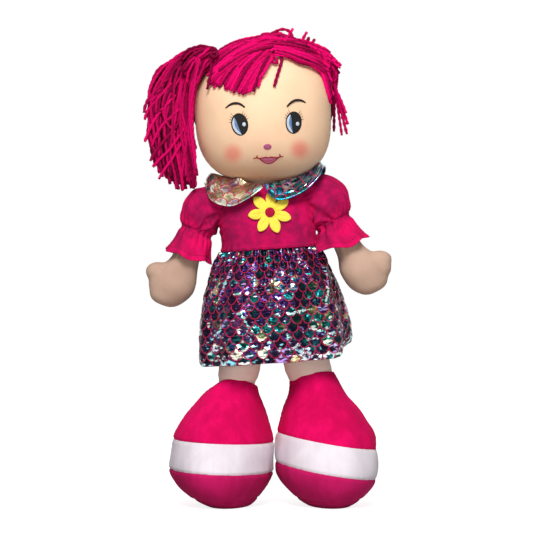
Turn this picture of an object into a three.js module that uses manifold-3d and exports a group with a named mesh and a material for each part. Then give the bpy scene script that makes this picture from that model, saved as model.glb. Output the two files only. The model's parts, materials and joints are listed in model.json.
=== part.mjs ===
// A soft standing rag doll with yarn hair in side bunches, a gathered dress and big stuffed shoes.
// Millimetres, +Z up, the face looks along -Y, and the soles stand on z = 0.

import * as THREE from "three";
import { mergeVertices } from "three/addons/utils/BufferGeometryUtils.js";
import Module from "manifold-3d";

const wasm = await Module();
wasm.setup();

// Clearances, cloth and cutting
const seam = 0.35; // gap between pieces that are sewn or laid together
const swing = 0.8; // gap beside a piece that swings
const nodRoom = 0.95; // gap over the neck, which the nodding head slides on
const cloth = 1.6; // dress cloth
const plush = 2.4; // shoe plush and head knit
const overrun = 4; // how far an inner shape runs past an open end
const far = 900; // reach of a cutting block

// Shoes and legs
const shoeHeight = 156;
const shoeWidth = 130;
const toeReach = 97;
const heelReach = 43;
const shoeSplay = 19;
const shoeSway = 6;
const toeOut = 5;
const soleThickness = 9;
const stripeHeight = 44;
const stripeWidth = 37;
const stripeTilt = { left: 2, right: 9.6 };
const heelSeamSetback = 6;
const legLength = 114;
const legWidth = 56;
const legDepth = 54;
const hipSeamThickness = 12;
const hipSpacing = 53;
const legLean = { left: 8, right: 12.5 };

// Torso and dress
const torsoHeight = 132;
const torsoWidth = 120;
const torsoDepth = 80;
const torsoTilt = 4;
const waistHeight = 50;
const neckWidth = 48;
const neckLength = 4;
const neckOpening = 8;
const skirtLength = 140;
const skirtWidth = 194;
const skirtDepth = 138;
const foldCount = 9;
const foldDepth = 4.5;
const hemLift = 17;
const hemLiftFullness = 12;

// Arms and sleeves
const shoulderHeight = 110;
const shoulderReach = 80;
const armReach = 133;
const armWidth = 39;
const handWidth = 54;
const handDepth = 42;
const thumbDrop = 96;
const thumbOut = 20;
const thumbLength = 32;
const thumbWidth = 25;
const thumbAngle = 112;
const armBow = 7;
const armLean = { left: 22, right: 28 };
const sleeveWidth = 49;
const sleeveLength = 31;
const elasticWidth = 7;
const elasticThickness = 2.6;
const cuffLength = 27;
const cuffWidth = 58;

// Collar and flower
const collarReach = 62;
const collarDrop = 35;
const collarThickness = 2.2;
const collarOpening = 52;
const collarNotch = 40;
const collarGap = 3;
const flowerWidth = 55;
const flowerHeight = 97;
const flowerShift = 6;
const petalCount = 7;
const feltThickness = 2.2;
const flowerCentreWidth = 12;

// Head and face
const headWidth = 171;
const headDepth = 160;
const headHeight = 178;
const headRoll = 2;
const headForward = 4;
const headFullness = 2.12;
const jawFullness = 2.8;
const stitchThickness = 0.9;
const faceShift = 4;
const eyeSpacing = 66.5;
const eyeDrop = 18.5;
const eyeWidth = 21;
const eyeHeight = 27;
const irisShift = 4.4;
const highlightSize = 5.5;
const browRise = 22;
const browOut = 5;
const browWidth = 24;
const browThickness = 3.2;
const noseDrop = 47.2;
const noseWidth = 10;
const noseHeight = 6.5;
const lipDrop = 63.6;
const lipWidth = 24;
const lipHeight = 8.5;

// Hair
const capThickness = 9;
const fringeThickness = 11;
const hairlineHeight = 68;
const hairlineSetback = 46;
const napeDrop = 58;
const templeSetback = 40;
const templeDrop = 44;
const fringeFloor = { left: 24, right: 62 };
const fringeSlope = { left: 0, right: 14 };
const partingShift = 4;
const partingSlope = 16;
const tieHeight = 60;
const tieWidth = 30;
const tieThickness = 5;
const rootWidth = 18;
const rootReach = { left: 22, right: 6 };
const bunchWidth = 56;
const bunchDepth = 46;
const bunchLength = 152;
const bunchSetback = { left: 14, right: 34 };
const backBunchWidth = 36;
const backBunchDepth = 32;
const backBunchLength = 134;

// How round the forms are drawn
const coarse = 12;
const medium = 14;
const fine = 20;
const clothSides = 36;
const pointsPerPetal = 6;
const poleShare = 0.25;
const crescentShare = 0.17;
const archShare = 3;
const quarterTurn = 90;

const hands = { left: -1, right: 1 };
const up = new THREE.Vector3(0, 0, 1);
const down = new THREE.Vector3(0, 0, -1);
const forward = new THREE.Vector3(0, -1, 0);
const backward = new THREE.Vector3(0, 1, 0);
const radians = THREE.MathUtils.degToRad;

function paint(color, roughness) {
  return new THREE.MeshStandardMaterial({ color, roughness, metalness: 0 });
}

const skinCloth = paint(0xf0c9a9, 0.9);
const handCloth = paint(0xdcb6a0, 0.9);
const yarn = paint(0xc80f5f, 0.95);
const velvet = paint(0xcf1f5f, 0.85);
const plushPink = paint(0xde055c, 0.95);
const plushDark = paint(0xb42560, 0.95);
const whiteCloth = paint(0xece4e9, 0.9);
const foil = paint(0x6f4a78, 0.35);
const yellowFelt = paint(0xf3dd5e, 0.95);
const redFelt = paint(0xb41a3e, 0.9);
const blackThread = paint(0x121016, 0.5);
const blueThread = paint(0x6f93b8, 0.5);
const whiteThread = paint(0xf2f2f4, 0.5);
const mauveThread = paint(0xb0788c, 0.7);
const lipThread = paint(0xb5485f, 0.7);
const fibre = paint(0xf6f4ee, 1);

// Closed skin over a stack of rings of points, from the lowest ring to the highest
function skin(rings) {
  const count = rings[0].length;
  const faces = [];
  for (let row = 0; row + 1 < rings.length; row += 1) {
    for (let i = 0; i < count; i += 1) {
      const a = row * count + i;
      const b = row * count + ((i + 1) % count);
      faces.push(a, b, b + count, a, b + count, a + count);
    }
  }
  const top = (rings.length - 1) * count;
  for (let i = 1; i + 1 < count; i += 1) {
    faces.push(0, i + 1, i, top, top + i, top + i + 1);
  }
  const geometry = new THREE.BufferGeometry().setFromPoints(rings.flat());
  return geometry.setIndex(faces);
}

// Points round a rounded outline at one level, with its own front and back reach
function ring({ x = 0, y = 0, z, width, front, back = front }, count, fullness = 2) {
  const points = [];
  for (let i = 0; i < count; i += 1) {
    const angle = (i / count) * 2 * Math.PI;
    const c = Math.cos(angle);
    const s = Math.sin(angle);
    const bulge = (Math.abs(c) ** fullness + Math.abs(s) ** fullness) ** (-1 / fullness);
    const reach = s < 0 ? front : back;
    points.push(new THREE.Vector3(x + width * bulge * c, y + reach * bulge * s, z));
  }
  return points;
}

function loft(stations, count, fullness) {
  return skin(stations.map((station) => ring(station, count, fullness)));
}

// A stuffed ball with its own width, depth and height, and its own fullness across its lower half
function ball(halfWidth, halfDepth, halfHeight, count, fullness = 2, lowFullness = fullness) {
  const rows = count / 2;
  const stations = [];
  for (let row = 0; row < rows; row += 1) {
    const slope = ((row + poleShare) / (rows - 1 + 2 * poleShare) - 1 / 2) * Math.PI;
    const c = Math.abs(Math.cos(slope));
    const s = Math.sin(slope);
    const bulge = (c ** fullness + Math.abs(s) ** fullness) ** (-1 / fullness);
    const level = s * bulge;
    const across = level < 0 ? lowFullness : fullness;
    const width = halfWidth * (1 - Math.abs(level) ** across) ** (1 / across);
    stations.push({ z: halfHeight * level, width, front: halfDepth * c * bulge });
  }
  return loft(stations, count);
}

// The solid of a closed geometry, for joining and cutting
function solid(geometry, matrix = new THREE.Matrix4()) {
  const bare = geometry.clone().applyMatrix4(matrix);
  bare.deleteAttribute("normal");
  bare.deleteAttribute("uv");
  const merged = mergeVertices(bare);
  const triVerts = new Uint32Array(merged.index.array);
  const vertProperties = merged.attributes.position.array;
  return new wasm.Manifold(new wasm.Mesh({ numProp: 3, vertProperties, triVerts }));
}

// A named mesh of a solid that is given in the doll's frame, hung in a group
function piece(group, name, shape, material) {
  const { numProp, vertProperties, triVerts } = shape.getMesh();
  const geometry = new THREE.BufferGeometry();
  geometry.setAttribute("position", new THREE.BufferAttribute(vertProperties, numProp));
  geometry.setIndex(new THREE.BufferAttribute(triVerts, 1));
  geometry.applyMatrix4(group.matrixWorld.clone().invert());
  geometry.computeVertexNormals();
  const mesh = new THREE.Mesh(geometry, material);
  mesh.name = name;
  group.add(mesh);
}

function frame(parent, x, y, z, lean = 0, yaw = 0) {
  const group = new THREE.Group();
  group.position.set(x, y, z);
  group.rotation.set(0, radians(lean), radians(yaw));
  parent.add(group);
  group.updateWorldMatrix(true, false);
  return group;
}

function at(group, x, y, z) {
  return new THREE.Vector3(x, y, z).applyMatrix4(group.matrixWorld);
}

// Everything beyond a plane through a point, on the side that its direction points to
function beyond(point, direction) {
  const block = new THREE.BoxGeometry(far, far, far).translate(0, 0, far / 2);
  const aim = new THREE.Quaternion().setFromUnitVectors(up, direction.clone().normalize());
  return solid(block, new THREE.Matrix4().compose(point, aim, new THREE.Vector3(1, 1, 1)));
}

function tilted(degrees) {
  return new THREE.Vector3(Math.sin(radians(degrees)), 0, Math.cos(radians(degrees)));
}

// A flat outline pushed from a group's middle plane out through the front of the doll
function stamp(outline, group, x, z) {
  const geometry = new THREE.ExtrudeGeometry(outline, { depth: far, bevelEnabled: false });
  geometry.rotateX(Math.PI / 2);
  geometry.translate(x, 0, z);
  return solid(geometry, group.matrixWorld);
}

function post(radius, low, high, group, count = medium) {
  const geometry = new THREE.CylinderGeometry(radius, radius, high - low, count);
  geometry.rotateX(Math.PI / 2);
  geometry.translate(0, 0, (low + high) / 2);
  return solid(geometry, group.matrixWorld);
}

// A cylinder along X between two levels of x, through a point
function rod(radius, from, to, point, count = medium) {
  const geometry = new THREE.CylinderGeometry(radius, radius, Math.abs(to - from), count);
  geometry.rotateZ(Math.PI / 2);
  geometry.translate((from + to) / 2, point.y, point.z);
  return solid(geometry);
}

function oval(width, height) {
  const curve = new THREE.EllipseCurve(0, 0, width / 2, height / 2);
  return new THREE.Shape(curve.getPoints(coarse).slice(0, -1));
}

const doll = new THREE.Group();
doll.name = "rag_doll";

const hipHeight = shoeHeight + legLength;
const torsoFrame = frame(doll, 0, 0, hipHeight, -torsoTilt);
const neckTop = at(torsoFrame, 0, 0, torsoHeight + neckLength);
const headLevel = neckTop.z + headHeight / 2;
const headFrame = frame(doll, neckTop.x, -headForward, headLevel, -headRoll);

// Stuffed torso, from the hip seam up to the neck
const torsoShares = [
  { z: 0, width: 0.84, depth: 0.14 },
  { z: 0.06, width: 0.9, depth: 0.25 },
  { z: 0.14, width: 0.95, depth: 0.48 },
  { z: 0.25, width: 0.98, depth: 0.79 },
  { z: 0.38, width: 1, depth: 1 },
  { z: 0.6, width: 1, depth: 1 },
  { z: 0.78, width: 0.99, depth: 0.93 },
  { z: 0.88, width: 0.88, depth: 0.8 },
  { z: 0.95, width: 0.7, depth: 0.68 },
  { z: 1, width: 0.5, depth: 0.6 },
];
const torsoFullness = 2.3;

function torsoForm(grow) {
  const stations = torsoShares.map((share) => ({
    z: share.z * torsoHeight + grow * (2 * share.z - 1),
    width: (share.width * torsoWidth) / 2 + grow,
    front: (share.depth * torsoDepth) / 2 + grow,
  }));
  return solid(loft(stations, fine, torsoFullness), torsoFrame.matrixWorld);
}

function headForm(grow) {
  const form = ball(
    headWidth / 2 + grow,
    headDepth / 2 + grow,
    headHeight / 2 + grow,
    fine,
    headFullness,
    jawFullness,
  );
  return solid(form, headFrame.matrixWorld);
}

piece(torsoFrame, "body", torsoForm(0), skinCloth);

const neckFrame = frame(torsoFrame, 0, 0, torsoHeight);
const neckPost = post(neckWidth / 2, seam, headHeight / 2, neckFrame);
piece(neckFrame, "neck", neckPost.subtract(headForm(nodRoom)), skinCloth);

// Head: a knit skin with an opening over the neck, and the fibre that fills it
const headOpening = post(neckWidth / 2 - plush, -headHeight, 0, headFrame);
const headSkin = headForm(0).subtract(headForm(-plush)).subtract(headOpening);
piece(headFrame, "head_skin", headSkin, skinCloth);
piece(headFrame, "head_filling", headForm(-plush - seam), fibre);

// Stitched features lie on the face in two layers of thread
function faceLayer(layer) {
  const low = seam + layer * (stitchThickness + seam);
  return headForm(low + stitchThickness).subtract(headForm(low));
}

const faceLayers = [faceLayer(0), faceLayer(1)];

function onFace(name, outline, x, z, layer, material) {
  const print = stamp(outline, headFrame, faceShift + x, z);
  piece(headFrame, name, faceLayers[layer].intersect(print), material);
}

function crescent(width, height) {
  const outline = new THREE.Shape();
  outline.absellipse(0, 0, width / 2, height / 2, Math.PI / 2, (3 * Math.PI) / 2, false);
  const inner = crescentShare * width;
  outline.absellipse(0, 0, inner, height / 2, (3 * Math.PI) / 2, Math.PI / 2, true);
  return new THREE.Shape(outline.getPoints(coarse / 2).slice(0, -1));
}

function arch(width, rise) {
  const outline = new THREE.Shape();
  outline.moveTo(-width / 2, 0);
  outline.quadraticCurveTo(0, archShare * rise, width / 2, 0);
  outline.quadraticCurveTo(0, rise, -width / 2, 0);
  return new THREE.Shape(outline.getPoints(coarse / 2).slice(0, -1));
}

for (const [name, hand] of Object.entries(hands)) {
  const x = (hand * eyeSpacing) / 2;
  const iris = crescent(eyeWidth - irisShift, eyeHeight - irisShift);
  const highlight = oval(highlightSize, highlightSize);
  const browLevel = eyeHeight / 2 + browRise / 2 - eyeDrop;
  onFace("eye_" + name, oval(eyeWidth, eyeHeight), x, -eyeDrop, 0, blackThread);
  onFace("iris_" + name, iris, x, -eyeDrop, 1, blueThread);
  onFace("highlight_" + name, highlight, x + irisShift, irisShift - eyeDrop, 1, whiteThread);
  const browX = x + hand * browOut;
  onFace("brow_" + name, arch(browWidth, browThickness), browX, browLevel, 0, blackThread);
}
onFace("nose", oval(noseWidth, noseHeight), 0, -noseDrop, 0, mauveThread);
onFace("lips", oval(lipWidth, lipHeight), 0, -lipDrop, 0, lipThread);

// Yarn over the crown and the back of the head, behind a hairline that slopes back to the temples
const hairlineRun = templeSetback + hairlineSetback;
const hairNormal = new THREE.Vector3(0, hairlineHeight + templeDrop, hairlineRun).normalize();
const hairBand = headForm(seam + fringeThickness).subtract(headForm(seam));

function behindHairline(shift) {
  const point = at(headFrame, 0, -hairlineSetback, hairlineHeight);
  return beyond(point.addScaledVector(hairNormal, shift), hairNormal);
}

const hairCap = headForm(seam + capThickness)
  .subtract(headForm(seam))
  .intersect(behindHairline(0))
  .subtract(beyond(at(headFrame, 0, 0, -napeDrop), down));
piece(headFrame, "hair_cap", hairCap, yarn);

// Two fringe locks, parted over the middle of the forehead and swept to the sides
for (const [name, hand] of Object.entries(hands)) {
  const parting = at(headFrame, partingShift + hand * seam, 0, hairlineHeight);
  const away = tilted(hand * (quarterTurn - hand * partingSlope));
  const floor = at(headFrame, 0, 0, fringeFloor[name]);
  const lock = hairBand
    .subtract(behindHairline(-seam))
    .intersect(beyond(parting, away))
    .intersect(beyond(floor, tilted(fringeSlope[name])));
  piece(headFrame, "fringe_" + name, lock, yarn);
}

// How far out the hair cap reaches inside a rod as wide as a hair tie, through a point beside it
function capReach(hand, point) {
  const inside = point.x - (hand * capWidth) / 2;
  const zone = hairCap.intersect(rod(tieWidth / 2, inside, point.x + hand * overrun, point));
  const { min, max } = zone.boundingBox();
  return hand < 0 ? min[0] : max[0];
}

// Hanging side bunch, from its cut ends up to its crown; shares of its own length and size
const bunchShares = [
  { z: -1, size: 0.62 },
  { z: -0.94, size: 0.85 },
  { z: -0.7, size: 1 },
  { z: -0.35, size: 1 },
  { z: -0.1, size: 0.93 },
  { z: 0, size: 0.76 },
  { z: 0.05, size: 0.45 },
];

// Bunch that falls behind the head; x and y are shares of the reach of the hair cap
const backBunchShares = [
  { x: 0.49, y: 0.8, z: -1, size: 0.6 },
  { x: 0.56, y: 0.84, z: -0.9, size: 0.9 },
  { x: 0.7, y: 0.86, z: -0.68, size: 1 },
  { x: 0.88, y: 0.76, z: -0.42, size: 1 },
  { x: 0.95, y: 0.6, z: -0.2, size: 0.95 },
  { x: 0.93, y: 0.42, z: 0, size: 0.85 },
  { x: 0.9, y: 0.38, z: 0.08, size: 0.5 },
];

const capWidth = headWidth + 2 * (seam + capThickness);
const capDepth = headDepth + 2 * (seam + capThickness);

const besideHead = -(capWidth + bunchWidth) / 2 - swing;

function bunchForm(name, tie) {
  const behind = name === "right";
  const shares = behind ? backBunchShares : bunchShares;
  const width = behind ? backBunchWidth : bunchWidth;
  const front = behind ? backBunchDepth : bunchDepth;
  const length = behind ? backBunchLength : bunchLength;
  const stations = shares.map((share) => ({
    x: behind ? (share.x * capWidth) / 2 : besideHead,
    y: behind ? (share.y * capDepth) / 2 : tie.y,
    z: tie.z + share.z * length,
    width: (share.size * width) / 2,
    front: (share.size * front) / 2,
  }));
  return solid(loft(stations, coarse, torsoFullness), headFrame.matrixWorld);
}

for (const [name, hand] of Object.entries(hands)) {
  const tie = { y: bunchSetback[name], z: tieHeight };
  const tiePoint = at(headFrame, (hand * capWidth) / 2, tie.y, tie.z);
  const startX = capReach(hand, tiePoint) + hand * seam;
  const endX = startX + hand * tieThickness;
  const rootEnd = endX + hand * rootReach[name];
  const tieSeat = headFrame.worldToLocal(new THREE.Vector3(startX, tiePoint.y, tiePoint.z));
  const tieFrame = frame(headFrame, tieSeat.x, tieSeat.y, tieSeat.z);
  const ringOuter = rod(tieWidth / 2, startX, endX, tiePoint);
  const ringInner = rod(rootWidth / 2 + seam, startX - hand * overrun, endX + hand * overrun, tiePoint);
  const root = rod(rootWidth / 2, startX, rootEnd, tiePoint);
  const hair = bunchForm(name, tie)
    .subtract(rod(tieWidth / 2 + swing, startX - hand * rootWidth, endX + hand * seam, tiePoint))
    .add(root)
    .subtract(headForm(seam + capThickness + swing));
  piece(tieFrame, "hair_tie_" + name, ringOuter.subtract(ringInner), redFelt);
  piece(tieFrame, "hair_bunch_" + name, hair, yarn);
}

// Arms: each hangs from a shoulder point, leans out, bows a little and ends in a mitten hand
function shoulderPoint(hand) {
  return at(torsoFrame, hand * shoulderReach, 0, shoulderHeight);
}

const armShares = [
  { z: -1, arm: 0, hand: 0.3 },
  { z: -0.97, arm: 0, hand: 0.62 },
  { z: -0.9, arm: 0, hand: 0.87 },
  { z: -0.8, arm: 0, hand: 1 },
  { z: -0.68, arm: 0.1, hand: 0.86 },
  { z: -0.57, arm: 0.5, hand: 0.36 },
  { z: -0.48, arm: 0.84, hand: 0 },
  { z: -0.34, arm: 0.8, hand: 0 },
  { z: -0.22, arm: 0.82, hand: 0 },
  { z: -0.06, arm: 0.95, hand: 0 },
  { z: 0.06, arm: 0.9, hand: 0 },
  { z: 0.13, arm: 0.6, hand: 0 },
];

function bowAt(hand, z) {
  return -hand * armBow * Math.sin(Math.PI * THREE.MathUtils.clamp(-z / armReach, 0, 1));
}

function armForm(group, hand, grow) {
  const stations = armShares.map((share) => ({
    x: bowAt(hand, share.z * armReach),
    z: share.z * armReach,
    width: (share.arm * armWidth + share.hand * handWidth) / 2 + grow,
    front: (share.arm * armWidth + share.hand * handDepth) / 2 + grow,
  }));
  return solid(loft(stations, coarse), group.matrixWorld);
}

function level(group, z, direction) {
  return beyond(at(group, 0, 0, z), direction.clone().transformDirection(group.matrixWorld));
}

// Where a stub of a radius, run in from the shoulder, comes clear of the torso
function torsoSide(hand, radius, grow) {
  const point = shoulderPoint(hand);
  const zone = torsoForm(grow).intersect(rod(radius, 0, 2 * point.x, point));
  const { min, max } = zone.boundingBox();
  return hand < 0 ? min[0] : max[0];
}

const sleeveShares = [
  { drop: 1, dome: 0, size: 0.8 },
  { drop: 0.85, dome: 0, size: 0.9 },
  { drop: 0.5, dome: 0, size: 1 },
  { drop: 0, dome: 0, size: 1 },
  { drop: 0, dome: 0.4, size: 0.93 },
  { drop: 0, dome: 0.7, size: 0.74 },
  { drop: 0, dome: 0.92, size: 0.42 },
];

function sleeveForm(group, hand, grow, run) {
  const stations = sleeveShares.map((share) => ({
    x: bowAt(hand, -share.drop * sleeveLength),
    z: share.dome * (sleeveWidth / 2 + grow) - share.drop * (sleeveLength + run),
    width: (share.size * sleeveWidth) / 2 + grow,
    front: (share.size * sleeveWidth) / 2 + grow,
  }));
  return solid(loft(stations, medium), group.matrixWorld);
}

function cuffForm(group, hand, grow, run) {
  const top = -sleeveLength - elasticWidth - 2 * seam;
  const narrow = (sleeveWidth / 2) * sleeveShares[0].size;
  const stations = [
    { x: bowAt(hand, top - cuffLength), z: top - cuffLength - run, width: cuffWidth / 2 },
    { x: bowAt(hand, top - cuffLength / 2), z: top - cuffLength / 2, width: (cuffWidth + 2 * narrow) / 4 },
    { x: bowAt(hand, top), z: top + run, width: narrow },
  ];
  stations.forEach((station) => {
    station.width += grow;
    station.front = station.width;
  });
  return solid(loft(stations, medium), group.matrixWorld);
}

// The collar lies on the bodice round the neck
const neckCentre = frame(torsoFrame, 0, 0, torsoHeight);
const notch = new THREE.Shape([
  new THREE.Vector2(0, 0),
  new THREE.Vector2(-collarNotch / 2, -collarReach),
  new THREE.Vector2(collarNotch / 2, -collarReach),
]);

function collarZone(grow) {
  const low = seam + cloth + seam - grow;
  const reach = collarReach + grow;
  const round = solid(ball(reach, reach, collarDrop + grow, medium), neckCentre.matrixWorld);
  return torsoForm(low + collarThickness + 2 * grow)
    .subtract(torsoForm(low))
    .intersect(round)
    .subtract(post(collarOpening / 2 - grow, -collarReach, collarReach, neckCentre));
}

const dressCover = torsoForm(seam + cloth + seam);
const armholes = [];
for (const [name, hand] of Object.entries(hands)) {
  const point = shoulderPoint(hand);
  const armFrame = frame(doll, point.x, point.y, point.z, -hand * armLean[name]);
  const armSide = torsoSide(hand, armWidth / 2, seam);
  const stub = rod(armWidth / 2, armSide, point.x, point);
  const thumb = new THREE.Matrix4()
    .makeTranslation(hand * thumbOut, 0, -thumbDrop)
    .multiply(new THREE.Matrix4().makeRotationY(hand * radians(thumbAngle)))
    .premultiply(armFrame.matrixWorld);
  const thumbShape = solid(ball(thumbWidth / 2, thumbWidth / 2, thumbLength / 2, coarse), thumb);
  const arm = armForm(armFrame, hand, 0).add(thumbShape);
  const bare = arm.intersect(beyond(new THREE.Vector3(armSide, 0, 0), new THREE.Vector3(hand, 0, 0)));
  piece(armFrame, "arm_" + name, bare.add(stub), handCloth);

  const tunnel = armWidth / 2 + swing;
  const tunnelStart = point.x - hand * sleeveWidth;
  const tunnelOuter = rod(tunnel + cloth, tunnelStart, point.x, point);
  const tunnelInner = rod(tunnel, tunnelStart - hand * overrun, point.x, point);
  armholes.push(rod(tunnel, tunnelStart, point.x, point));
  const sleeve = sleeveForm(armFrame, hand, 0, 0)
    .add(tunnelOuter)
    .subtract(sleeveForm(armFrame, hand, -cloth, overrun))
    .subtract(tunnelInner)
    .subtract(dressCover)
    .subtract(collarZone(seam));
  piece(armFrame, "sleeve_" + name, sleeve, velvet);

  const elastic = armForm(armFrame, hand, seam + elasticThickness)
    .subtract(armForm(armFrame, hand, seam))
    .intersect(level(armFrame, -sleeveLength - seam, down))
    .intersect(level(armFrame, -sleeveLength - seam - elasticWidth, up));
  piece(armFrame, "sleeve_elastic_" + name, elastic, velvet);

  const cuff = cuffForm(armFrame, hand, 0, 0).subtract(cuffForm(armFrame, hand, -cloth, overrun));
  piece(armFrame, "cuff_" + name, cuff, velvet);
}

// Bodice: a shell round the torso, open at the waist, the neck and the armholes
const waistCut = level(torsoFrame, waistHeight + seam, down);
const bodice = torsoForm(seam + cloth)
  .subtract(torsoForm(seam))
  .subtract(waistCut)
  .subtract(level(torsoFrame, torsoHeight - neckOpening, up))
  .subtract(armholes[0])
  .subtract(armholes[1]);
piece(torsoFrame, "bodice", bodice, velvet);

// Collar wings round the neck, with a notch in front and a gap behind
const collar = collarZone(0)
  .subtract(stamp(notch, neckCentre, 0, 0))
  .subtract(headForm(2 * swing));
for (const [name, hand] of Object.entries(hands)) {
  const outward = new THREE.Vector3(hand, 0, 0);
  const wing = collar.intersect(beyond(at(neckCentre, (hand * collarGap) / 2, 0, 0), outward));
  piece(torsoFrame, "collar_" + name, wing, foil);
}

// Felt flower on the front of the bodice
function petals() {
  const points = [];
  const count = petalCount * pointsPerPetal;
  for (let i = 0; i < count; i += 1) {
    const angle = (i / count) * 2 * Math.PI;
    const swell = Math.abs(Math.cos((petalCount * angle) / 2));
    const radius = (flowerWidth / 4) * (1 + swell);
    points.push(new THREE.Vector2(radius * Math.sin(angle), radius * Math.cos(angle)));
  }
  return new THREE.Shape(points.reverse());
}

function dressLayer(layer, thickness) {
  const low = seam + cloth + seam + layer * (feltThickness + seam);
  return torsoForm(low + thickness).subtract(torsoForm(low));
}

const petalPiece = dressLayer(0, feltThickness)
  .intersect(stamp(petals(), torsoFrame, flowerShift, flowerHeight))
  .subtract(collarZone(seam));
piece(torsoFrame, "flower_petals", petalPiece, yellowFelt);
const flowerDisc = stamp(oval(flowerCentreWidth, flowerCentreWidth), torsoFrame, flowerShift, flowerHeight);
piece(torsoFrame, "flower_centre", dressLayer(1, feltThickness).intersect(flowerDisc), redFelt);

// Skirt: gathered at the waist, its folds deepen towards a hem that lifts on one side
const skirtShares = [
  { drop: 1, flare: 1 },
  { drop: 0.79, flare: 1 },
  { drop: 0.57, flare: 0.86 },
  { drop: 0.35, flare: 0.63 },
  { drop: 0.2, flare: 0.4 },
  { drop: 0.1, flare: 0.22 },
  { drop: 0.04, flare: 0.08 },
  { drop: 0, flare: 0 },
];

function skirtForm(grow, run) {
  const narrowWidth = torsoWidth / 2 + seam + cloth;
  const narrowDepth = torsoDepth / 2 + seam + cloth;
  const rings = skirtShares.map((share) => {
    const width = narrowWidth + share.flare * (skirtWidth / 2 - foldDepth - narrowWidth);
    const front = narrowDepth + share.flare * (skirtDepth / 2 - foldDepth - narrowDepth);
    const fold = foldDepth * share.drop;
    const z = waistHeight - share.drop * skirtLength;
    const points = ring({ z, width: width + grow, front: front + grow }, clothSides, torsoFullness);
    return points.map((point, i) => {
      const angle = (i / clothSides) * 2 * Math.PI;
      const wave = fold * Math.cos(foldCount * angle);
      const lift = hemLift * share.drop ** 2 * Math.max(0, Math.cos(angle)) ** hemLiftFullness;
      const end = (share.drop === 1 ? -run : 0) + (share.drop === 0 ? run : 0);
      point.x += wave * Math.cos(angle);
      point.y += wave * Math.sin(angle);
      point.z += lift + end;
      return point;
    });
  });
  return solid(skin(rings), torsoFrame.matrixWorld);
}

const skirt = skirtForm(0, 0).subtract(skirtForm(-cloth, overrun));
piece(torsoFrame, "skirt", skirt, foil);

// Legs hang from the flat hip seam, and each ends in a big stuffed shoe
const legShares = [
  { z: -1, width: 0.83, depth: 0.86, seam: 0 },
  { z: -0.92, width: 0.86, depth: 0.88, seam: 0 },
  { z: -0.82, width: 0.98, depth: 0.98, seam: 0 },
  { z: -0.7, width: 1, depth: 1, seam: 0 },
  { z: -0.5, width: 0.97, depth: 0.84, seam: 0 },
  { z: -0.32, width: 0.92, depth: 0.52, seam: 0 },
  { z: -0.16, width: 0.87, depth: 0.25, seam: 0 },
  { z: 0, width: 0.82, depth: 0, seam: 0.74 },
  { z: 0, width: 0.8, depth: 0, seam: 0.64, rise: 0.6 },
  { z: 0, width: 0.76, depth: 0, seam: 0.3, rise: 0.92 },
];

const shoeShares = [
  { z: 0, leg: 0, wide: 0.42, toe: 0.66, heel: 0.66, splay: 0.79, sway: 1 },
  { z: 0.03, leg: 0, wide: 0.54, toe: 0.78, heel: 0.76, splay: 0.86, sway: 0.8 },
  { z: 0.08, leg: 0, wide: 0.69, toe: 0.9, heel: 0.86, splay: 0.95, sway: 0.55 },
  { z: 0.16, leg: 0, wide: 0.87, toe: 0.98, heel: 0.95, splay: 1, sway: 0.3 },
  { z: 0.25, leg: 0, wide: 0.98, toe: 1, heel: 0.98, splay: 1, sway: 0.1 },
  { z: 0.34, leg: 0, wide: 1, toe: 0.97, heel: 1, splay: 1, sway: 0 },
  { z: 0.46, leg: 0, wide: 0.985, toe: 0.88, heel: 1, splay: 0.92, sway: 0 },
  { z: 0.58, leg: 0.08, wide: 0.91, toe: 0.74, heel: 0.93, splay: 0.89, sway: 0 },
  { z: 0.7, leg: 0.25, wide: 0.71, toe: 0.55, heel: 0.78, splay: 0.72, sway: 0 },
  { z: 0.8, leg: 0.5, wide: 0.47, toe: 0.36, heel: 0.52, splay: 0.53, sway: 0 },
  { z: 0.9, leg: 0.76, wide: 0.21, toe: 0.15, heel: 0.2, splay: 0.33, sway: 0 },
  { z: 1, leg: 0.86, wide: 0, toe: 0, heel: 0, splay: 0, sway: 0 },
];

function legForm(group, hand, lean) {
  const length = group.position.z - shoeHeight - seam;
  const stations = legShares.map((share) => ({
    x: -hand * Math.tan(radians(lean)) * share.z * length,
    z: share.z * length + ((share.rise ?? 0) * hipSeamThickness) / 2,
    width: (share.width * legWidth) / 2,
    front: (share.depth * legDepth + share.seam * hipSeamThickness) / 2,
  }));
  return solid(loft(stations, coarse), group.matrixWorld);
}

function shoeForm(group, hand, grow, run) {
  const stations = shoeShares.map((share) => ({
    x: hand * shoeSplay * share.splay + shoeSway * share.sway,
    z: share.z * shoeHeight + (share.z === 1 ? run : 0),
    width: (share.leg * legWidth + share.wide * shoeWidth) / 2 + grow,
    front: (share.leg * legDepth) / 2 + share.toe * toeReach + grow,
    back: (share.leg * legDepth) / 2 + share.heel * heelReach + grow,
  }));
  return solid(loft(stations, medium), group.matrixWorld);
}

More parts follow.
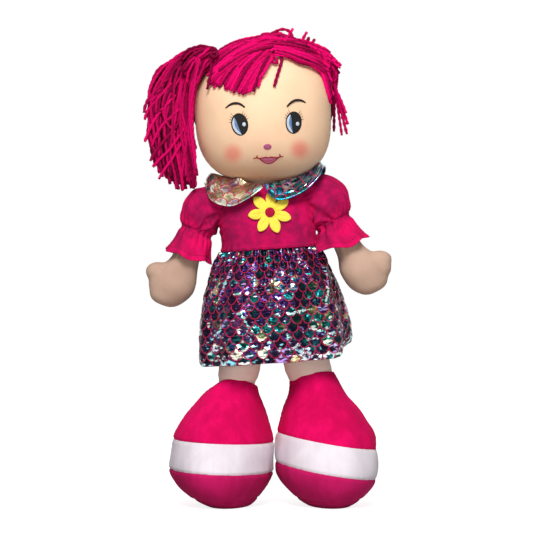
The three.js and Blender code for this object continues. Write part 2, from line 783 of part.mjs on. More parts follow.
for (const [name, hand] of Object.entries(hands)) {
  const hipX = (hand * hipSpacing) / 2;
  const legTop = (legShares.at(-1).width * legWidth) / 2;
  const hipEdges = [hipX - legTop, hipX + legTop].map((x) => at(torsoFrame, x, 0, 0).z);
  const hipLevel = Math.min(...hipEdges) - hipSeamThickness / 2 - seam;
  const legFrame = frame(doll, hipX, 0, hipLevel);
  piece(legFrame, "leg_" + name, legForm(legFrame, hand, legLean[name]), skinCloth);

  const ankleX = hipX + hand * legLength * Math.tan(radians(legLean[name]));
  const shoeFrame = frame(doll, ankleX, 0, 0, 0, hand * toeOut);
  const stuffed = shoeForm(shoeFrame, hand, 0, 0);
  const aboveSole = level(shoeFrame, soleThickness + seam, up);
  const inner = shoeForm(shoeFrame, hand, -plush, overrun);
  const shell = stuffed.subtract(inner).intersect(aboveSole);
  const heelSeam = at(shoeFrame, 0, heelSeamSetback, 0);
  const frontPanel = shell.intersect(beyond(heelSeam, forward));
  const tilt = tilted(stripeTilt[name]);
  const slope = tilt.clone().negate();
  const stripeX = hand * shoeSplay;
  const stripeLow = at(shoeFrame, stripeX, 0, stripeHeight);
  const stripeHigh = at(shoeFrame, stripeX, 0, stripeHeight + stripeWidth);
  const toeTop = stripeLow.clone().addScaledVector(tilt, -seam);
  const vampFoot = stripeHigh.clone().addScaledVector(tilt, seam);
  const stripe = frontPanel.intersect(beyond(stripeLow, tilt)).intersect(beyond(stripeHigh, slope));
  const heelEdge = heelSeam.clone().addScaledVector(backward, seam);
  const filled = shoeForm(shoeFrame, hand, -plush - seam, -seam).intersect(aboveSole);
  const sole = stuffed.subtract(level(shoeFrame, soleThickness, up));
  piece(shoeFrame, "shoe_sole_" + name, sole, plushPink);
  piece(shoeFrame, "shoe_toe_" + name, frontPanel.intersect(beyond(toeTop, slope)), plushDark);
  piece(shoeFrame, "shoe_stripe_" + name, stripe, whiteCloth);
  piece(shoeFrame, "shoe_vamp_" + name, frontPanel.intersect(beyond(vampFoot, tilt)), plushPink);
  piece(shoeFrame, "shoe_heel_" + name, shell.intersect(beyond(heelEdge, backward)), plushPink);
  piece(shoeFrame, "shoe_filling_" + name, filled, fibre);
}

// The origin lies on the ground under the middle of the doll
const bounds = new THREE.Box3().setFromObject(doll, true);
const middle = bounds.getCenter(new THREE.Vector3());
doll.position.set(-middle.x, -middle.y, -bounds.min.z);

export default doll;
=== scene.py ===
import json
import math

import bmesh
import bpy
import numpy as np
from mathutils import Matrix, Vector
from mathutils.bvhtree import BVHTree

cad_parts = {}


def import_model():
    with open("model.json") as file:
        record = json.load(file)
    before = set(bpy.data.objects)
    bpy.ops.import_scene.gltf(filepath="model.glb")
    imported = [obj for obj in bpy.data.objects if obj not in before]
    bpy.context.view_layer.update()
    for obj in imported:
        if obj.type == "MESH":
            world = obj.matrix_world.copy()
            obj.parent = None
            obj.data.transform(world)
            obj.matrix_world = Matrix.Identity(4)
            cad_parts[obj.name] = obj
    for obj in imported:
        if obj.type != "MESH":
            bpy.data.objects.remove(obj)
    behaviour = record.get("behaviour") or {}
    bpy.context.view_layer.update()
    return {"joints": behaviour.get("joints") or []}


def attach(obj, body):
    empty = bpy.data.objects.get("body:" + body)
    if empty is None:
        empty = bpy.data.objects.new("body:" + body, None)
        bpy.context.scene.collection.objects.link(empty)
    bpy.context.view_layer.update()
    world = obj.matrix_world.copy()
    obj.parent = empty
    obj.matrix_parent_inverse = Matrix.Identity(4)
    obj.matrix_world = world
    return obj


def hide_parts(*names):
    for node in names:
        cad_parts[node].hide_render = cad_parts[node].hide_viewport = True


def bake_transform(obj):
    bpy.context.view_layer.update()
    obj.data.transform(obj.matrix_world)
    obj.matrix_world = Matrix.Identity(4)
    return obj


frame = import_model()

MM = 0.001
HANDS = {"left": -1, "right": 1}
JOINTS = {joint["name"]: np.array(joint["pos_m"]) / MM for joint in frame["joints"]}

# Camera and picture
PICTURE_PIXELS = 533
MM_PER_PIXEL = 1.255
SENSOR = 36.0
CAMERA_DISTANCE = 4000.0
CAMERA_ELEVATION = 1.0
PICTURE_MIDDLE = (0.2, 0.0, 299.0)
PHOTO_MIDDLE = 263.0
PHOTO_FLOOR = 505.5

# Head, from its middle
HEAD_HALF = (85.5, 80.0, 89.0)
HEAD_FULLNESS = 2.12
JAW_FULLNESS = 2.8
HEAD_ROLL = -2.0
HEAD_SEAM = 8.0
HEAD_FARTHEST = 140.0
CHIN = -60.0
FACE_SHIFT = 4.0
EYE_SPACING = 66.5
EYE_DROP = 18.5
NOSE_DROP = 47.2
LIP_DROP = 61.8

# Torso, from the hip seam
TORSO_HEIGHT = 132.0
TORSO_WIDTH = 120.0
TORSO_DEPTH = 80.0
TORSO_TILT = -4.0
TORSO_LIFT = 9.68
WAIST = 50.0
WAIST_NIP = 5.0
NECK_OPENING = 8.0
NECK_RADIUS = 23.5
BODY_FULLNESS = 2.3

# Arms, from each shoulder
ARM_REACH = 133.0
ARM_WIDTH = 39.0
HAND_WIDTH = 54.0
HAND_DEPTH = 42.0
ARM_BOW = 7.0
ARM_LEAN = {"left": 22.0, "right": 28.0}
THUMB_DROP = 96.0
THUMB_OUT = 20.0
THUMB_LENGTH = 32.0
THUMB_WIDTH = 25.0
THUMB_ANGLE = 112.0
THUMB_SINK = {"left": 0.0, "right": 3.0}
WEB_OUT = {"left": 14.0, "right": 18.5}
WEB_DROP = 108.0
SLEEVE_WIDTH = 49.0
SLEEVE_LENGTH = 31.0
ARMHOLE_SPACING = 22.0
ELASTIC_RADIUS = SLEEVE_WIDTH / 2 * 0.8
ELASTIC_WIDTH = 7.0
CUFF_LENGTH = 27.0
CUFF_WIDTH = 58.0
ARMHOLE_HALF = (23.5, 22.5)

# Collar and flower, on the torso
COLLAR_CLEARANCE = 2.7
FLOWER_PLACE = (6.0, 0.0, 97.0)
PETAL_ROOT = 11.5
PETAL_LENGTH = 16.0
PETAL_TURN = 4.0

# Skirt, legs and shoes
SKIRT_LENGTH = 140.0
SKIRT_WIDTH = 194.0
SKIRT_DEPTH = 138.0
SKIRT_GAP = 2.6
SKIRT_SEAM = 7.0
FOLD_COUNT = 9
FOLD_DEPTH = 4.5
HEM_LIFT = 17.0
HEM_LIFT_FULLNESS = 12
LEG_WIDTH = 56.0
LEG_DEPTH = 54.0
LEG_LEAN = {"left": 8.0, "right": 12.5}
LEG_LENGTH = 114.0
HIP_SEAM = 12.0
SHOE_HEIGHT = 156.0
SHOE_WIDTH = 130.0
TOE_REACH = 97.0
HEEL_REACH = 43.0
SHOE_SPLAY = 19.0
SHOE_SWAY = 6.0
TOE_OUT = 5.0
SOLE = 9.0
HEEL_SETBACK = 6.0
STRIPE_HEIGHT = 44.0
STRIPE_WIDTH = 37.0
STRIPE_TILT = {"left": 2.0, "right": 9.6}
RIM_SHAPE = {"left": (-8.5, -1.0, 12.0, 2.6), "right": (4.0, 4.0, 7.5, 4.0)}
LEG_FULLNESS = {"left": 0.92, "right": 1.05}
LEG_TUCK = 14.0

# Yarn, stitches and the thickness of each cloth
YARN_RADIUS = 1.9
YARN_PITCH = 16.0
STITCH_LENGTH = 2.6
STITCH_GAP = 1.6
STITCH_RADIUS = 0.42
TIE_RADIUS = 11.5
CAP_LIFT = 2.4
CLOTH = {"scalp": 1.6, "bodice": 1.3, "sleeve": 1.2, "cuff": 1.2, "collar": 1.8, "skirt": 1.1}


def srgb(*levels):
    """A colour given in screen levels from 0 to 255, as linear values."""
    shares = [level / 255 for level in levels]
    return [s / 12.92 if s < 0.04045 else ((s + 0.055) / 1.055) ** 2.4 for s in shares] + [1.0]


def placement(origin, lean=0.0, yaw=0.0):
    """A frame at a point, leaned about Y and then turned about its own Z."""
    turn = Matrix.Rotation(math.radians(lean), 4, "Y") @ Matrix.Rotation(math.radians(yaw), 4, "Z")
    return np.array(Matrix.Translation(Vector(origin)) @ turn)


def world(points, place):
    return np.asarray(points, float) @ place[:3, :3].T + place[:3, 3]


def local(points, place):
    return (np.asarray(points, float) - place[:3, 3]) @ place[:3, :3]


def stacked(*parts):
    """Points from their coordinates, each a number or an array."""
    return np.stack(np.broadcast_arrays(*parts), -1)


def size_of(vectors):
    """The length of each vector, kept as a column."""
    return np.linalg.norm(vectors, axis=-1, keepdims=True)


def run_of(line):
    """How far each point of a line lies from its start, along the line."""
    return np.concatenate([[0], np.cumsum(np.linalg.norm(np.diff(line, axis=0), axis=1))])


def points_at(where, run, line):
    """Points at distances along a line."""
    return np.stack([np.interp(where, run, line[:, axis]) for axis in range(3)], -1)


def circle(count):
    """Even angles round a circle."""
    return np.arange(count) / count * 2 * math.pi


def bell(distance, width):
    """A smooth hump that is 1 where the distance is 0."""
    return np.exp(-(distance / width) ** 2)


def broadened(wave, power):
    """A wave whose crests and hollows are made broader."""
    return np.sign(wave) * np.abs(wave) ** power


def turned(x, z, degrees):
    """Places on the face, turned about their own middle."""
    c, s = math.cos(math.radians(degrees)), math.sin(math.radians(degrees))
    return np.stack([x * c - z * s, x * s + z * c], -1)


def in_picture(pixels, depth):
    """Points of the doll's frame at pixels of the photograph and depths from front to back."""
    pixels = np.asarray(pixels, float)
    x = JOINTS["head_nod"][0] + (pixels[:, 0] - PHOTO_MIDDLE) * MM_PER_PIXEL
    return stacked(x, depth, (PHOTO_FLOOR - pixels[:, 1]) * MM_PER_PIXEL)


HEAD = placement(JOINTS["head_nod"], HEAD_ROLL)
TORSO = placement(JOINTS["sit_fold"] + np.array((0, 0, TORSO_LIFT)), TORSO_TILT)
ARMS = {name: placement(JOINTS["shoulder_" + name], -hand * ARM_LEAN[name]) for name, hand in HANDS.items()}


# Node materials

RIB_WIDTH = 0.9
THREAD_PITCH = 0.55
THREAD_SLANT = 0.3


class Term:
    """A node output, which adds math nodes when it is used in a sum."""

    def __init__(self, tree, value):
        self.tree = tree
        self.value = value

    def math(self, operation, *others):
        return wire(self.tree, "Math", self, *others, operation=operation)

    def __add__(self, other):
        return self.math("ADD", other)

    def __sub__(self, other):
        return self.math("SUBTRACT", other)

    def __mul__(self, other):
        return self.math("MULTIPLY", other)

    def __truediv__(self, other):
        return self.math("DIVIDE", other)

    def __mod__(self, other):
        return self.math("FLOORED_MODULO", other)

    def floor(self):
        return self.math("FLOOR")

    def over(self, other):
        return self.math("GREATER_THAN", other)

    def smooth(self, low, high):
        return wire(self.tree, "MapRange", self, low, high, interpolation_type="SMOOTHSTEP")


def join(tree, socket, value):
    """Links an output to an input, or sets the input to a value or to a colour in screen levels."""
    if isinstance(value, Term):
        value = value.value
    if isinstance(value, bpy.types.NodeSocket):
        tree.links.new(value, socket)
    elif socket.type == "RGBA" and len(value) == 3:
        socket.default_value = srgb(*value)
    else:
        socket.default_value = value


def wire(tree, kind, *values, **settings):
    """The first output of a new node, whose first inputs take the values in their order."""
    node = tree.nodes.new("ShaderNode" + kind)
    for key, value in settings.items():
        setattr(node, key, value)
    for socket, value in zip(node.inputs, values):
        join(tree, socket, value)
    return Term(tree, node.outputs[0])


class Finish:
    """A material, with short calls for the nodes that the cloths share."""

    def __init__(self, name, **settings):
        self.material = bpy.data.materials.new(name)
        self.material.use_nodes = True
        self.tree = self.material.node_tree
        self.shader = self.tree.nodes["Principled BSDF"]
        for key, value in settings.items():
            self.set(key.replace("_", " ").title().replace("Ior", "IOR"), value)

    def set(self, name, value):
        join(self.tree, self.shader.inputs[name], value)

    def node(self, kind, output=0, settings=(), **inputs):
        node = self.tree.nodes.new("ShaderNode" + kind)
        for key, value in dict(settings).items():
            setattr(node, key, value)
        for key, value in inputs.items():
            join(self.tree, node.inputs[key.replace("_", " ")], value)
        return Term(self.tree, node.outputs[output])

    def coords(self, kind="Object"):
        return self.node("TexCoord", kind)

    def axes(self, vector):
        first = wire(self.tree, "SeparateXYZ", vector)
        return [Term(self.tree, output) for output in first.value.node.outputs]

    def vector(self, x, y, z=0.0):
        return wire(self.tree, "CombineXYZ", x, y, z)

    def scaled(self, vector, scale):
        return self.node("Mapping", Vector=vector, Scale=scale)

    def noise(self, vector, scale, detail=3.0, roughness=0.55):
        return self.node("TexNoise", 0, Vector=vector, Scale=scale, Detail=detail, Roughness=roughness)

    def ramp(self, factor, *stops):
        colours = wire(self.tree, "ValToRGB", factor)
        elements = colours.value.node.color_ramp.elements
        while len(elements) < len(stops):
            elements.new(0.5)
        for element, (place, colour) in zip(elements, stops):
            element.position = place
            element.color = srgb(*colour)
        return colours

    def mix(self, factor, first, second):
        node = self.tree.nodes.new("ShaderNodeMix")
        node.data_type = "RGBA"
        for socket, value in zip((node.inputs[0], node.inputs[6], node.inputs[7]), (factor, first, second)):
            join(self.tree, socket, value)
        return Term(self.tree, node.outputs[2])

    def cover(self, colour, height, depth_mm, strength):
        """Sets the colour, and the relief that the light shows."""
        self.set("Base Color", colour)
        self.set("Normal", self.node("Bump", 0, Height=height, Distance=depth_mm * MM, Strength=strength))
        return self


def knit_finish(name, light, dark):
    """Fine jersey knit: columns of small loops and a soft change of tone."""
    finish = Finish(name, roughness=0.85, specular_ior_level=0.2)
    place = finish.coords()
    tone = finish.noise(place, 14, 4)
    mottle = finish.noise(place, 900, 2)
    colour = finish.mix(tone.smooth(0.35, 0.7), light, dark)
    finish.colour = finish.mix(mottle * 0.12, colour, dark)
    x, y, z = finish.axes(place)
    step = 2 * math.pi / (RIB_WIDTH * MM)
    loops = ((x + y) * step).math("SINE") * (z * step * 0.8).math("SINE")
    return finish.cover(finish.colour, loops * 0.5 + mottle * 0.8, 0.12, 0.7)


def pile_finish(name, light, dark, grain=1500, depth=0.5, kind="Object", patch=9):
    """Short pile that lies in soft light and dark patches, with streaks where it was stroked."""
    finish = Finish(name, roughness=0.95, sheen_weight=0.12, sheen_roughness=0.3, sheen_tint=light,
                    specular_ior_level=0.12)
    place = finish.coords(kind)
    patches = finish.noise(place, patch, 3, 0.5)
    strokes = finish.noise(finish.scaled(place, (1.0, 1.0, 0.35)), patch * 7, 3, 0.6)
    grains = finish.noise(place, grain, 2, 0.7)
    nap = patches * 0.6 + strokes * 0.4
    colour = finish.mix(nap.smooth(0.38, 0.62), dark, light)
    colour = finish.mix(grains.smooth(0.3, 0.75) * 0.35, colour, dark)
    return finish.cover(colour, grains + nap * 0.8, depth, 0.9)


def yarn_finish(name, light, middle, dark):
    """Soft twisted yarn: each strand has its own tone, with fibres along the twist."""
    finish = Finish(name, roughness=0.95, sheen_weight=0.06, sheen_roughness=0.4, sheen_tint=light,
                    specular_ior_level=0.12)
    shade = finish.node("Attribute", "Fac", {"attribute_name": "shade"})
    place = finish.coords("UV")
    fibres = finish.noise(finish.scaled(place, (9.0, 3.0, 1.0)), 6, 3, 0.7)
    tone = shade * 0.75 + fibres * 0.4 - 0.08
    colour = finish.ramp(tone, (0.05, dark), (0.45, middle), (0.9, light))
    return finish.cover(colour, fibres, 0.5, 0.8)


def thread_finish(name, light, dark, roughness=0.45):
    """Satin stitch: close parallel threads with a soft shine, painted lighter on each crest and darker in
    each groove.
    """
    finish = Finish(name, roughness=roughness, specular_ior_level=0.25)
    x, _, z = finish.axes(finish.coords())
    run = (z + x * THREAD_SLANT) * (2 * math.pi / (THREAD_PITCH * MM))
    ridge = run.math("SINE") * 0.5 + 0.5
    # Painted highlight on the crest of each thread and painted shade in the grooves between threads
    return finish.cover(finish.mix(ridge * 0.8, dark, light), ridge, 0.15, 0.8)


SCALE_WIDTH = 14.5
SCALE_HEIGHT = 10.0
NET_WIDTH = 0.1
NET_COLOUR = (158, 8, 58)
# Painted shade and painted dark reflection for the foil, mixed in where its crease relief lies low
FOIL_PAINTED_SHADE = (10, 14, 26)
SKIRT_HUES = [
    (0.0, (190, 160, 104)), (0.1, (16, 96, 70)), (0.19, (8, 18, 22)), (0.28, (16, 112, 110)),
    (0.36, (10, 14, 52)), (0.43, (66, 28, 64)), (0.5, (12, 12, 22)), (0.57, (76, 36, 116)),
    (0.64, (12, 58, 48)), (0.71, (92, 36, 88)), (0.78, (12, 12, 34)), (0.86, (40, 96, 140)),
    (0.93, (190, 158, 106)), (1.0, (26, 96, 80)),
]
GOLD_HUES = [
    (0.0, (90, 170, 160)), (0.2, (196, 176, 132)), (0.38, (222, 208, 172)), (0.5, (150, 120, 160)),
    (0.62, (230, 226, 200)), (0.76, (100, 180, 176)), (0.88, (238, 230, 206)), (1.0, (150, 100, 150)),
]
CYAN_HUES = [
    (0.0, (16, 40, 96)), (0.2, (40, 180, 214)), (0.36, (8, 22, 60)), (0.5, (50, 196, 200)),
    (0.64, (60, 36, 120)), (0.78, (30, 116, 170)), (0.9, (110, 224, 226)), (1.0, (12, 30, 70)),
]
# Colours of the painted highlights on the foil
FLASH_HUES = [
    (0.0, (232, 206, 150)), (0.2, (226, 236, 226)), (0.38, (120, 222, 232)), (0.52, (224, 236, 240)),
    (0.66, (150, 226, 204)), (0.8, (184, 140, 226)), (0.92, (230, 238, 240)), (1.0, (236, 214, 160)),
]


def foil_finish(name, hues, painted_dark_share, flash_low, relief=0.8):
    """Holographic foil behind a crimson net of fish scales; the map runs in millimetres."""
    finish = Finish(name, specular_ior_level=0.2)
    u, v, _ = finish.axes(finish.coords("UV"))
    across = u / SCALE_WIDTH
    down = v / SCALE_HEIGHT
    row = down.floor()
    low = down - row

    def column(line):
        shifted = across + (line % 2.0) * 0.5
        cell = (shifted + 0.5).floor()
        return cell, (shifted - cell) * 2.0

    upper_cell, upper_x = column(row)
    reach = (upper_x * upper_x + low * low).math("SQRT")
    outside = reach.over(1.0)
    lower_cell, _ = column(row + 1.0)
    cell = upper_cell + (lower_cell - upper_cell) * outside
    line = row + outside
    net = (reach - 1.0).math("ABSOLUTE").smooth(NET_WIDTH, NET_WIDTH * 0.55)

    def chance(place):
        flat = {"noise_dimensions": "2D"}
        return finish.node("TexWhiteNoise", "Value", flat, Vector=finish.vector(place, line))

    random_cell, other_cell = chance(cell), chance(cell + 57.3)
    place = finish.scaled(finish.coords("UV"), (MM, MM, MM))
    drift = finish.noise(place, 16, 3, 0.6)
    crease = finish.noise(finish.scaled(place, (1.0, 1.7, 1.0)), 120, 1.2, 0.55)
    # The fold attribute carries painted glints, which the skirt stores along its creases
    fold = finish.node("Attribute", "Fac", {"attribute_name": "fold"})
    hue = random_cell * 0.5 + drift * 1.9 + crease * 0.5 - 0.95
    colour = finish.ramp(hue, *hues)
    # Cells go darker at random, as the foil's own tones, and where the crease relief lies low: there the
    # darkening is painted shade and painted dark reflection
    painted_dark = (other_cell * 0.5 + crease * 0.9).smooth(0.85, 0.45) * painted_dark_share
    colour = finish.mix(painted_dark, colour, FOIL_PAINTED_SHADE)
    # Painted highlights: glare colours on the crests of the crease relief, on some cells, and where the fold
    # attribute is high
    flash = (crease + other_cell * 0.2 + drift * 0.2 + fold).smooth(flash_low, flash_low + 0.14)
    glare = finish.ramp(random_cell * 0.9 + drift * 0.8 - 0.35, *FLASH_HUES)
    colour = finish.mix(flash * 0.85, colour, glare)
    colour = finish.mix(net * 0.95, colour, NET_COLOUR)
    finish.set("Metallic", net * -0.75 + 0.9)
    finish.set("Roughness", net * 0.35 + 0.15)
    return finish.cover(colour, crease * 1.2 + net * 0.2, 2.0, relief)


def felt_finish(name, light, dark):
    finish = Finish(name, roughness=0.95, sheen_weight=0.05, sheen_roughness=0.5, specular_ior_level=0.1)
    place = finish.coords()
    fibres = finish.noise(place, 1100, 4, 0.75)
    patches = finish.noise(place, 90, 2)
    colour = finish.mix(patches.smooth(0.35, 0.7) * 0.6, light, dark)
    colour = finish.mix(fibres.smooth(0.35, 0.8) * 0.4, colour, dark)
    return finish.cover(colour, fibres, 0.5, 0.8)


face_knit = knit_finish("face_knit", (247, 207, 171), (240, 197, 160))
# A darker copy of the skin knit for the torso, neck, arms and hands: painted shade
limb_knit_painted_shade = knit_finish("limb_knit_painted_shade", (194, 162, 141), (176, 144, 126))
# A lighter copy of the skin knit for the legs: painted light against the shadow that the skirt casts on them
leg_knit_painted_light = knit_finish("leg_knit_painted_light", (255, 226, 212), (246, 212, 196))
hair_yarn = yarn_finish("hair_yarn", (248, 2, 116), (192, 0, 84), (84, 0, 34))
# A darker copy of the hair yarn for the left bunch and the side hank: painted shade
bunch_yarn_painted_shade = yarn_finish("bunch_yarn_painted_shade", (224, 1, 102), (164, 0, 70), (64, 0, 26))
velvet = pile_finish("velvet", (226, 6, 92), (146, 14, 70), 2600, 0.25, "UV", 10)
plush_pink = pile_finish("plush_pink", (234, 4, 98), (200, 0, 78), patch=11)
plush_dark = pile_finish("plush_dark", (200, 26, 98), (172, 14, 78))
plush_white = pile_finish("plush_white", (234, 226, 231), (220, 208, 216))
foil = foil_finish("scale_foil", SKIRT_HUES, 0.9, 0.85)
gold_foil = foil_finish("gold_foil", GOLD_HUES, 0.5, 0.84, 0.3)
cyan_foil = foil_finish("cyan_foil", CYAN_HUES, 0.5, 0.74, 0.3)
yellow_felt = felt_finish("yellow_felt", (246, 222, 84), (228, 196, 60))
red_felt = felt_finish("red_felt", (180, 22, 58), (142, 12, 42))
black_thread = thread_finish("black_thread", (12, 12, 15), (2, 2, 3), 0.7)
blue_thread = thread_finish("blue_thread", (120, 156, 196), (72, 104, 150))
white_thread = thread_finish("white_thread", (226, 232, 238), (180, 190, 204))
mauve_thread = thread_finish("mauve_thread", (190, 104, 140), (150, 74, 108))
lip_thread = thread_finish("lip_thread", (216, 128, 156), (184, 88, 122))
mouth_thread = thread_finish("mouth_thread", (160, 20, 40), (122, 10, 28), 0.5)
pale_thread = thread_finish("pale_thread", (236, 110, 160), (214, 60, 120), 0.6)
# Dark thread for the stitched seams; along the waist its darkness is also painted shade
seam_thread_and_shade = thread_finish("seam_thread_and_shade", (160, 12, 68), (104, 6, 44), 0.6)


# Mesh helpers

WAVE_COUNT = 5
ASLANT = (0.31, 0.87, 0.38)


def build(name, points, faces, finish, uvs=None, shades=None):
    """An object from points in millimetres; uvs has one row for each corner of each face."""
    mesh = bpy.data.meshes.new(name)
    mesh.from_pydata((np.asarray(points, float) * MM).tolist(), [], [list(face) for face in faces])
    if uvs is not None:
        layer = mesh.uv_layers.new(name="UVMap")
        layer.data.foreach_set("uv", np.asarray(uvs, np.float32).ravel())
    if shades is not None:
        attribute = mesh.attributes.new("shade", "FLOAT", "POINT")
        attribute.data.foreach_set("value", np.asarray(shades, np.float32))
    mesh.polygons.foreach_set("use_smooth", [True] * len(mesh.polygons))
    mesh.materials.append(finish.material)
    mesh.update()
    obj = bpy.data.objects.new(name, mesh)
    bpy.context.scene.collection.objects.link(obj)
    return obj


def grid_faces(rows, columns, wrap, u, v):
    """Quads over a grid of points, with map values that run to u and v, or follow arrays of them."""
    spans = columns if wrap else columns - 1
    row, column = np.meshgrid(np.arange(rows - 1), np.arange(spans), indexing="ij")
    following = (column + 1) % columns
    quads = np.stack(
        [row * columns + column, row * columns + following,
         (row + 1) * columns + following, (row + 1) * columns + column], -1
    )
    us = np.linspace(0, u, spans + 1) if np.isscalar(u) else np.asarray(u)
    vs = np.linspace(0, v, rows) if np.isscalar(v) else np.asarray(v)
    corners = [(us[column], vs[row]), (us[column + 1], vs[row]),
               (us[column + 1], vs[row + 1]), (us[column], vs[row + 1])]
    uvs = np.stack([np.stack(corner, -1) for corner in corners], -2)
    return quads.reshape(-1, 4), uvs.reshape(-1, 4, 2)


def loft(name, rings, finish, u=1.0, v=1.0, caps=True):
    """Skin over rings of points, closed at both ends where it has caps."""
    rows, columns = rings.shape[:2]
    quads, uvs = grid_faces(rows, columns, True, u, v)
    points = rings.reshape(-1, 3)
    faces = quads.tolist()
    uvs = uvs.reshape(-1, 2)
    if caps:
        ends = [rings[0].mean(0), rings[-1].mean(0)]
        low, high = len(points), len(points) + 1
        top = (rows - 1) * columns
        points = np.vstack([points, ends])
        for i in range(columns):
            following = (i + 1) % columns
            faces.append([low, following, i])
            faces.append([high, top + i, top + following])
        uvs = np.vstack([uvs, np.zeros((6 * columns, 2))])
    return build(name, points, faces, finish, uvs)


def refine(table, count):
    """A smooth curve of more rows through the rows of a table."""
    table = np.asarray(table, float)
    last = len(table) - 1
    place = np.linspace(0, last, count)
    index = np.clip(place.astype(int), 0, last - 1)
    t = (place - index).reshape(-1, *[1] * (table.ndim - 1))
    a, b, c, d = (table[np.clip(index + step, 0, last)] for step in (-1, 0, 1, 2))
    return (2 * b + (c - a) * t + (2 * a - 5 * b + 4 * c - d) * t**2 + (3 * b - a - 3 * c + d) * t**3) / 2


def ring(count, fullness=2.0):
    """A unit outline: its angles, and its points on a rounded square."""
    angle = circle(count)
    c, s = np.cos(angle), np.sin(angle)
    bulge = (np.abs(c) ** fullness + np.abs(s) ** fullness) ** (-1 / fullness)
    return angle, c * bulge, s * bulge


def waves(points, size, seed):
    """Smooth random values from about -1 to 1 at points, for waves of about a size."""
    source = np.random.default_rng(seed)
    total = 0
    for _ in range(WAVE_COUNT):
        direction = source.normal(size=3)
        direction *= 2 * math.pi / (size * source.uniform(0.7, 1.5)) / np.linalg.norm(direction)
        total = total + np.sin(points @ direction + source.uniform(0, 2 * math.pi))
    return total / WAVE_COUNT * 1.6


def normals_of(points):
    """Outward normals of rings of points."""
    across = np.roll(points, -1, 1) - np.roll(points, 1, 1)
    normal = np.cross(across, np.gradient(points, axis=0))
    return normal / np.maximum(size_of(normal), 1e-9)


def modify(obj, kind, **settings):
    """Adds a modifier and applies it."""
    modifier = obj.modifiers.new(kind.lower(), kind)
    for key, value in settings.items():
        setattr(modifier, key, value)
    bpy.context.view_layer.update()
    graph = bpy.context.evaluated_depsgraph_get()
    shaped = obj.evaluated_get(graph)
    mesh = bpy.data.meshes.new_from_object(shaped, preserve_all_data_layers=True, depsgraph=graph)
    obj.modifiers.clear()
    old = obj.data
    obj.data = mesh
    bpy.data.meshes.remove(old)


def thicken(obj, thickness):
    """Cloth of a real thickness, whose outer face stays where it is."""
    modify(obj, "SOLIDIFY", thickness=thickness * MM, offset=-1, use_even_offset=False)


def cut(obj, point, direction):
    """Removes what lies beyond a plane, and closes the cut."""
    shape = bmesh.new()
    shape.from_mesh(obj.data)
    everything = shape.verts[:] + shape.edges[:] + shape.faces[:]
    result = bmesh.ops.bisect_plane(
        shape, geom=everything, plane_co=Vector(point) * MM, plane_no=Vector(direction), clear_outer=True
    )
    edges = [item for item in result["geom_cut"] if isinstance(item, bmesh.types.BMEdge)]
    bmesh.ops.contextual_create(shape, geom=edges)
    shape.to_mesh(obj.data)
    shape.free()


def tube_rings(line, reach, angle):
    """Rings of points round a line, carried along it without a twist."""
    tangent = np.gradient(line, axis=0)
    tangent /= size_of(tangent)
    normal = np.cross(tangent[0], ASLANT)
    for spot, ahead, far_out in zip(line, tangent, reach):
        normal = normal - ahead * (normal @ ahead)
        normal /= np.linalg.norm(normal)
        side = np.cross(ahead, normal)
        yield spot + far_out[:, None] * (np.cos(angle)[:, None] * normal + np.sin(angle)[:, None] * side)


def sweep(name, runs, finish, sides):
    """Closed tubes as one object; each run has a line, the reach of its rings, map rows and a tone."""
    angle = circle(sides)
    points, faces, uvs, shades = [], [], [], []
    for line, reach, down, shade in runs:
        first = len(points) * sides
        last = first + (len(line) - 1) * sides
        points.extend(tube_rings(line, reach, angle))
        quads, corners = grid_faces(len(line), sides, True, 1.0, down)
        faces.extend((quads + first).tolist())
        faces.append([first + i for i in reversed(range(sides))])
        faces.append([last + i for i in range(sides)])
        uvs += [corners.reshape(-1, 2), np.zeros((2 * sides, 2))]
        shades += [shade] * (len(line) * sides)
    return build(name, np.vstack(points), faces, finish, np.vstack(uvs), None if None in shades else shades)


def tubes(name, lines, sizes, finish, radius):
    """Smooth tubes along lines, each with its own run of thickness shares."""
    runs = [(line, radius * size[:, None], 1.0, None) for line, size in zip(lines, sizes)]
    return sweep(name, runs, finish, 8)


def yarn(name, strands, finish, seed, radius=YARN_RADIUS, sides=6, step=2.0):
    """Twisted strands of two plies along guide points, each cut off square."""
    source = np.random.default_rng(seed)
    angle = circle(sides)
    runs = []
    for guide in strands:
        dense = refine(guide, 8 * len(guide))
        run = run_of(dense)
        length = np.linspace(0, run[-1], max(4, int(run[-1] / step)))
        twist = source.uniform(0, 2 * math.pi)
        thick = radius * source.uniform(0.92, 1.1)
        shade = source.uniform(0, 1)
        turn = twist + 2 * math.pi * length[:, None] / YARN_PITCH
        reach = thick * (1 + 0.2 * np.cos(2 * (angle - turn)))
        reach[[0, -1]] *= 0.8
        runs.append((points_at(length, run, dense), reach, length / YARN_PITCH + shade * 7, shade))
    return sweep(name, runs, finish, sides)


def stitches(name, line, finish):
    """A closed row of short raised stitches along points."""
    line = np.vstack([line, line[:1]])
    run = run_of(line)
    count = int(run[-1] / (STITCH_LENGTH + STITCH_GAP))
    dashes = []
    for i in range(count):
        low = i * run[-1] / count
        dashes.append(points_at(np.linspace(low, low + STITCH_LENGTH, 4), run, line))
    return yarn(name, dashes, finish, 5, STITCH_RADIUS, 5, 0.7)


def dress(obj, body, slot, *nodes):
    """Puts a finished piece on the body that it rides on, and hides the nodes that it stands for; slot is
    not used.
    """
    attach(obj, body)
    if nodes:
        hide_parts(*nodes)
    return obj


# Head and face

BLUSH = [(-39, -54, 0.6), (43.8, -51.5, 0.62)]
BLUSH_COLOUR = (240, 104, 92)
BLUSH_INNER = 3.0
BLUSH_OUTER = 17.0
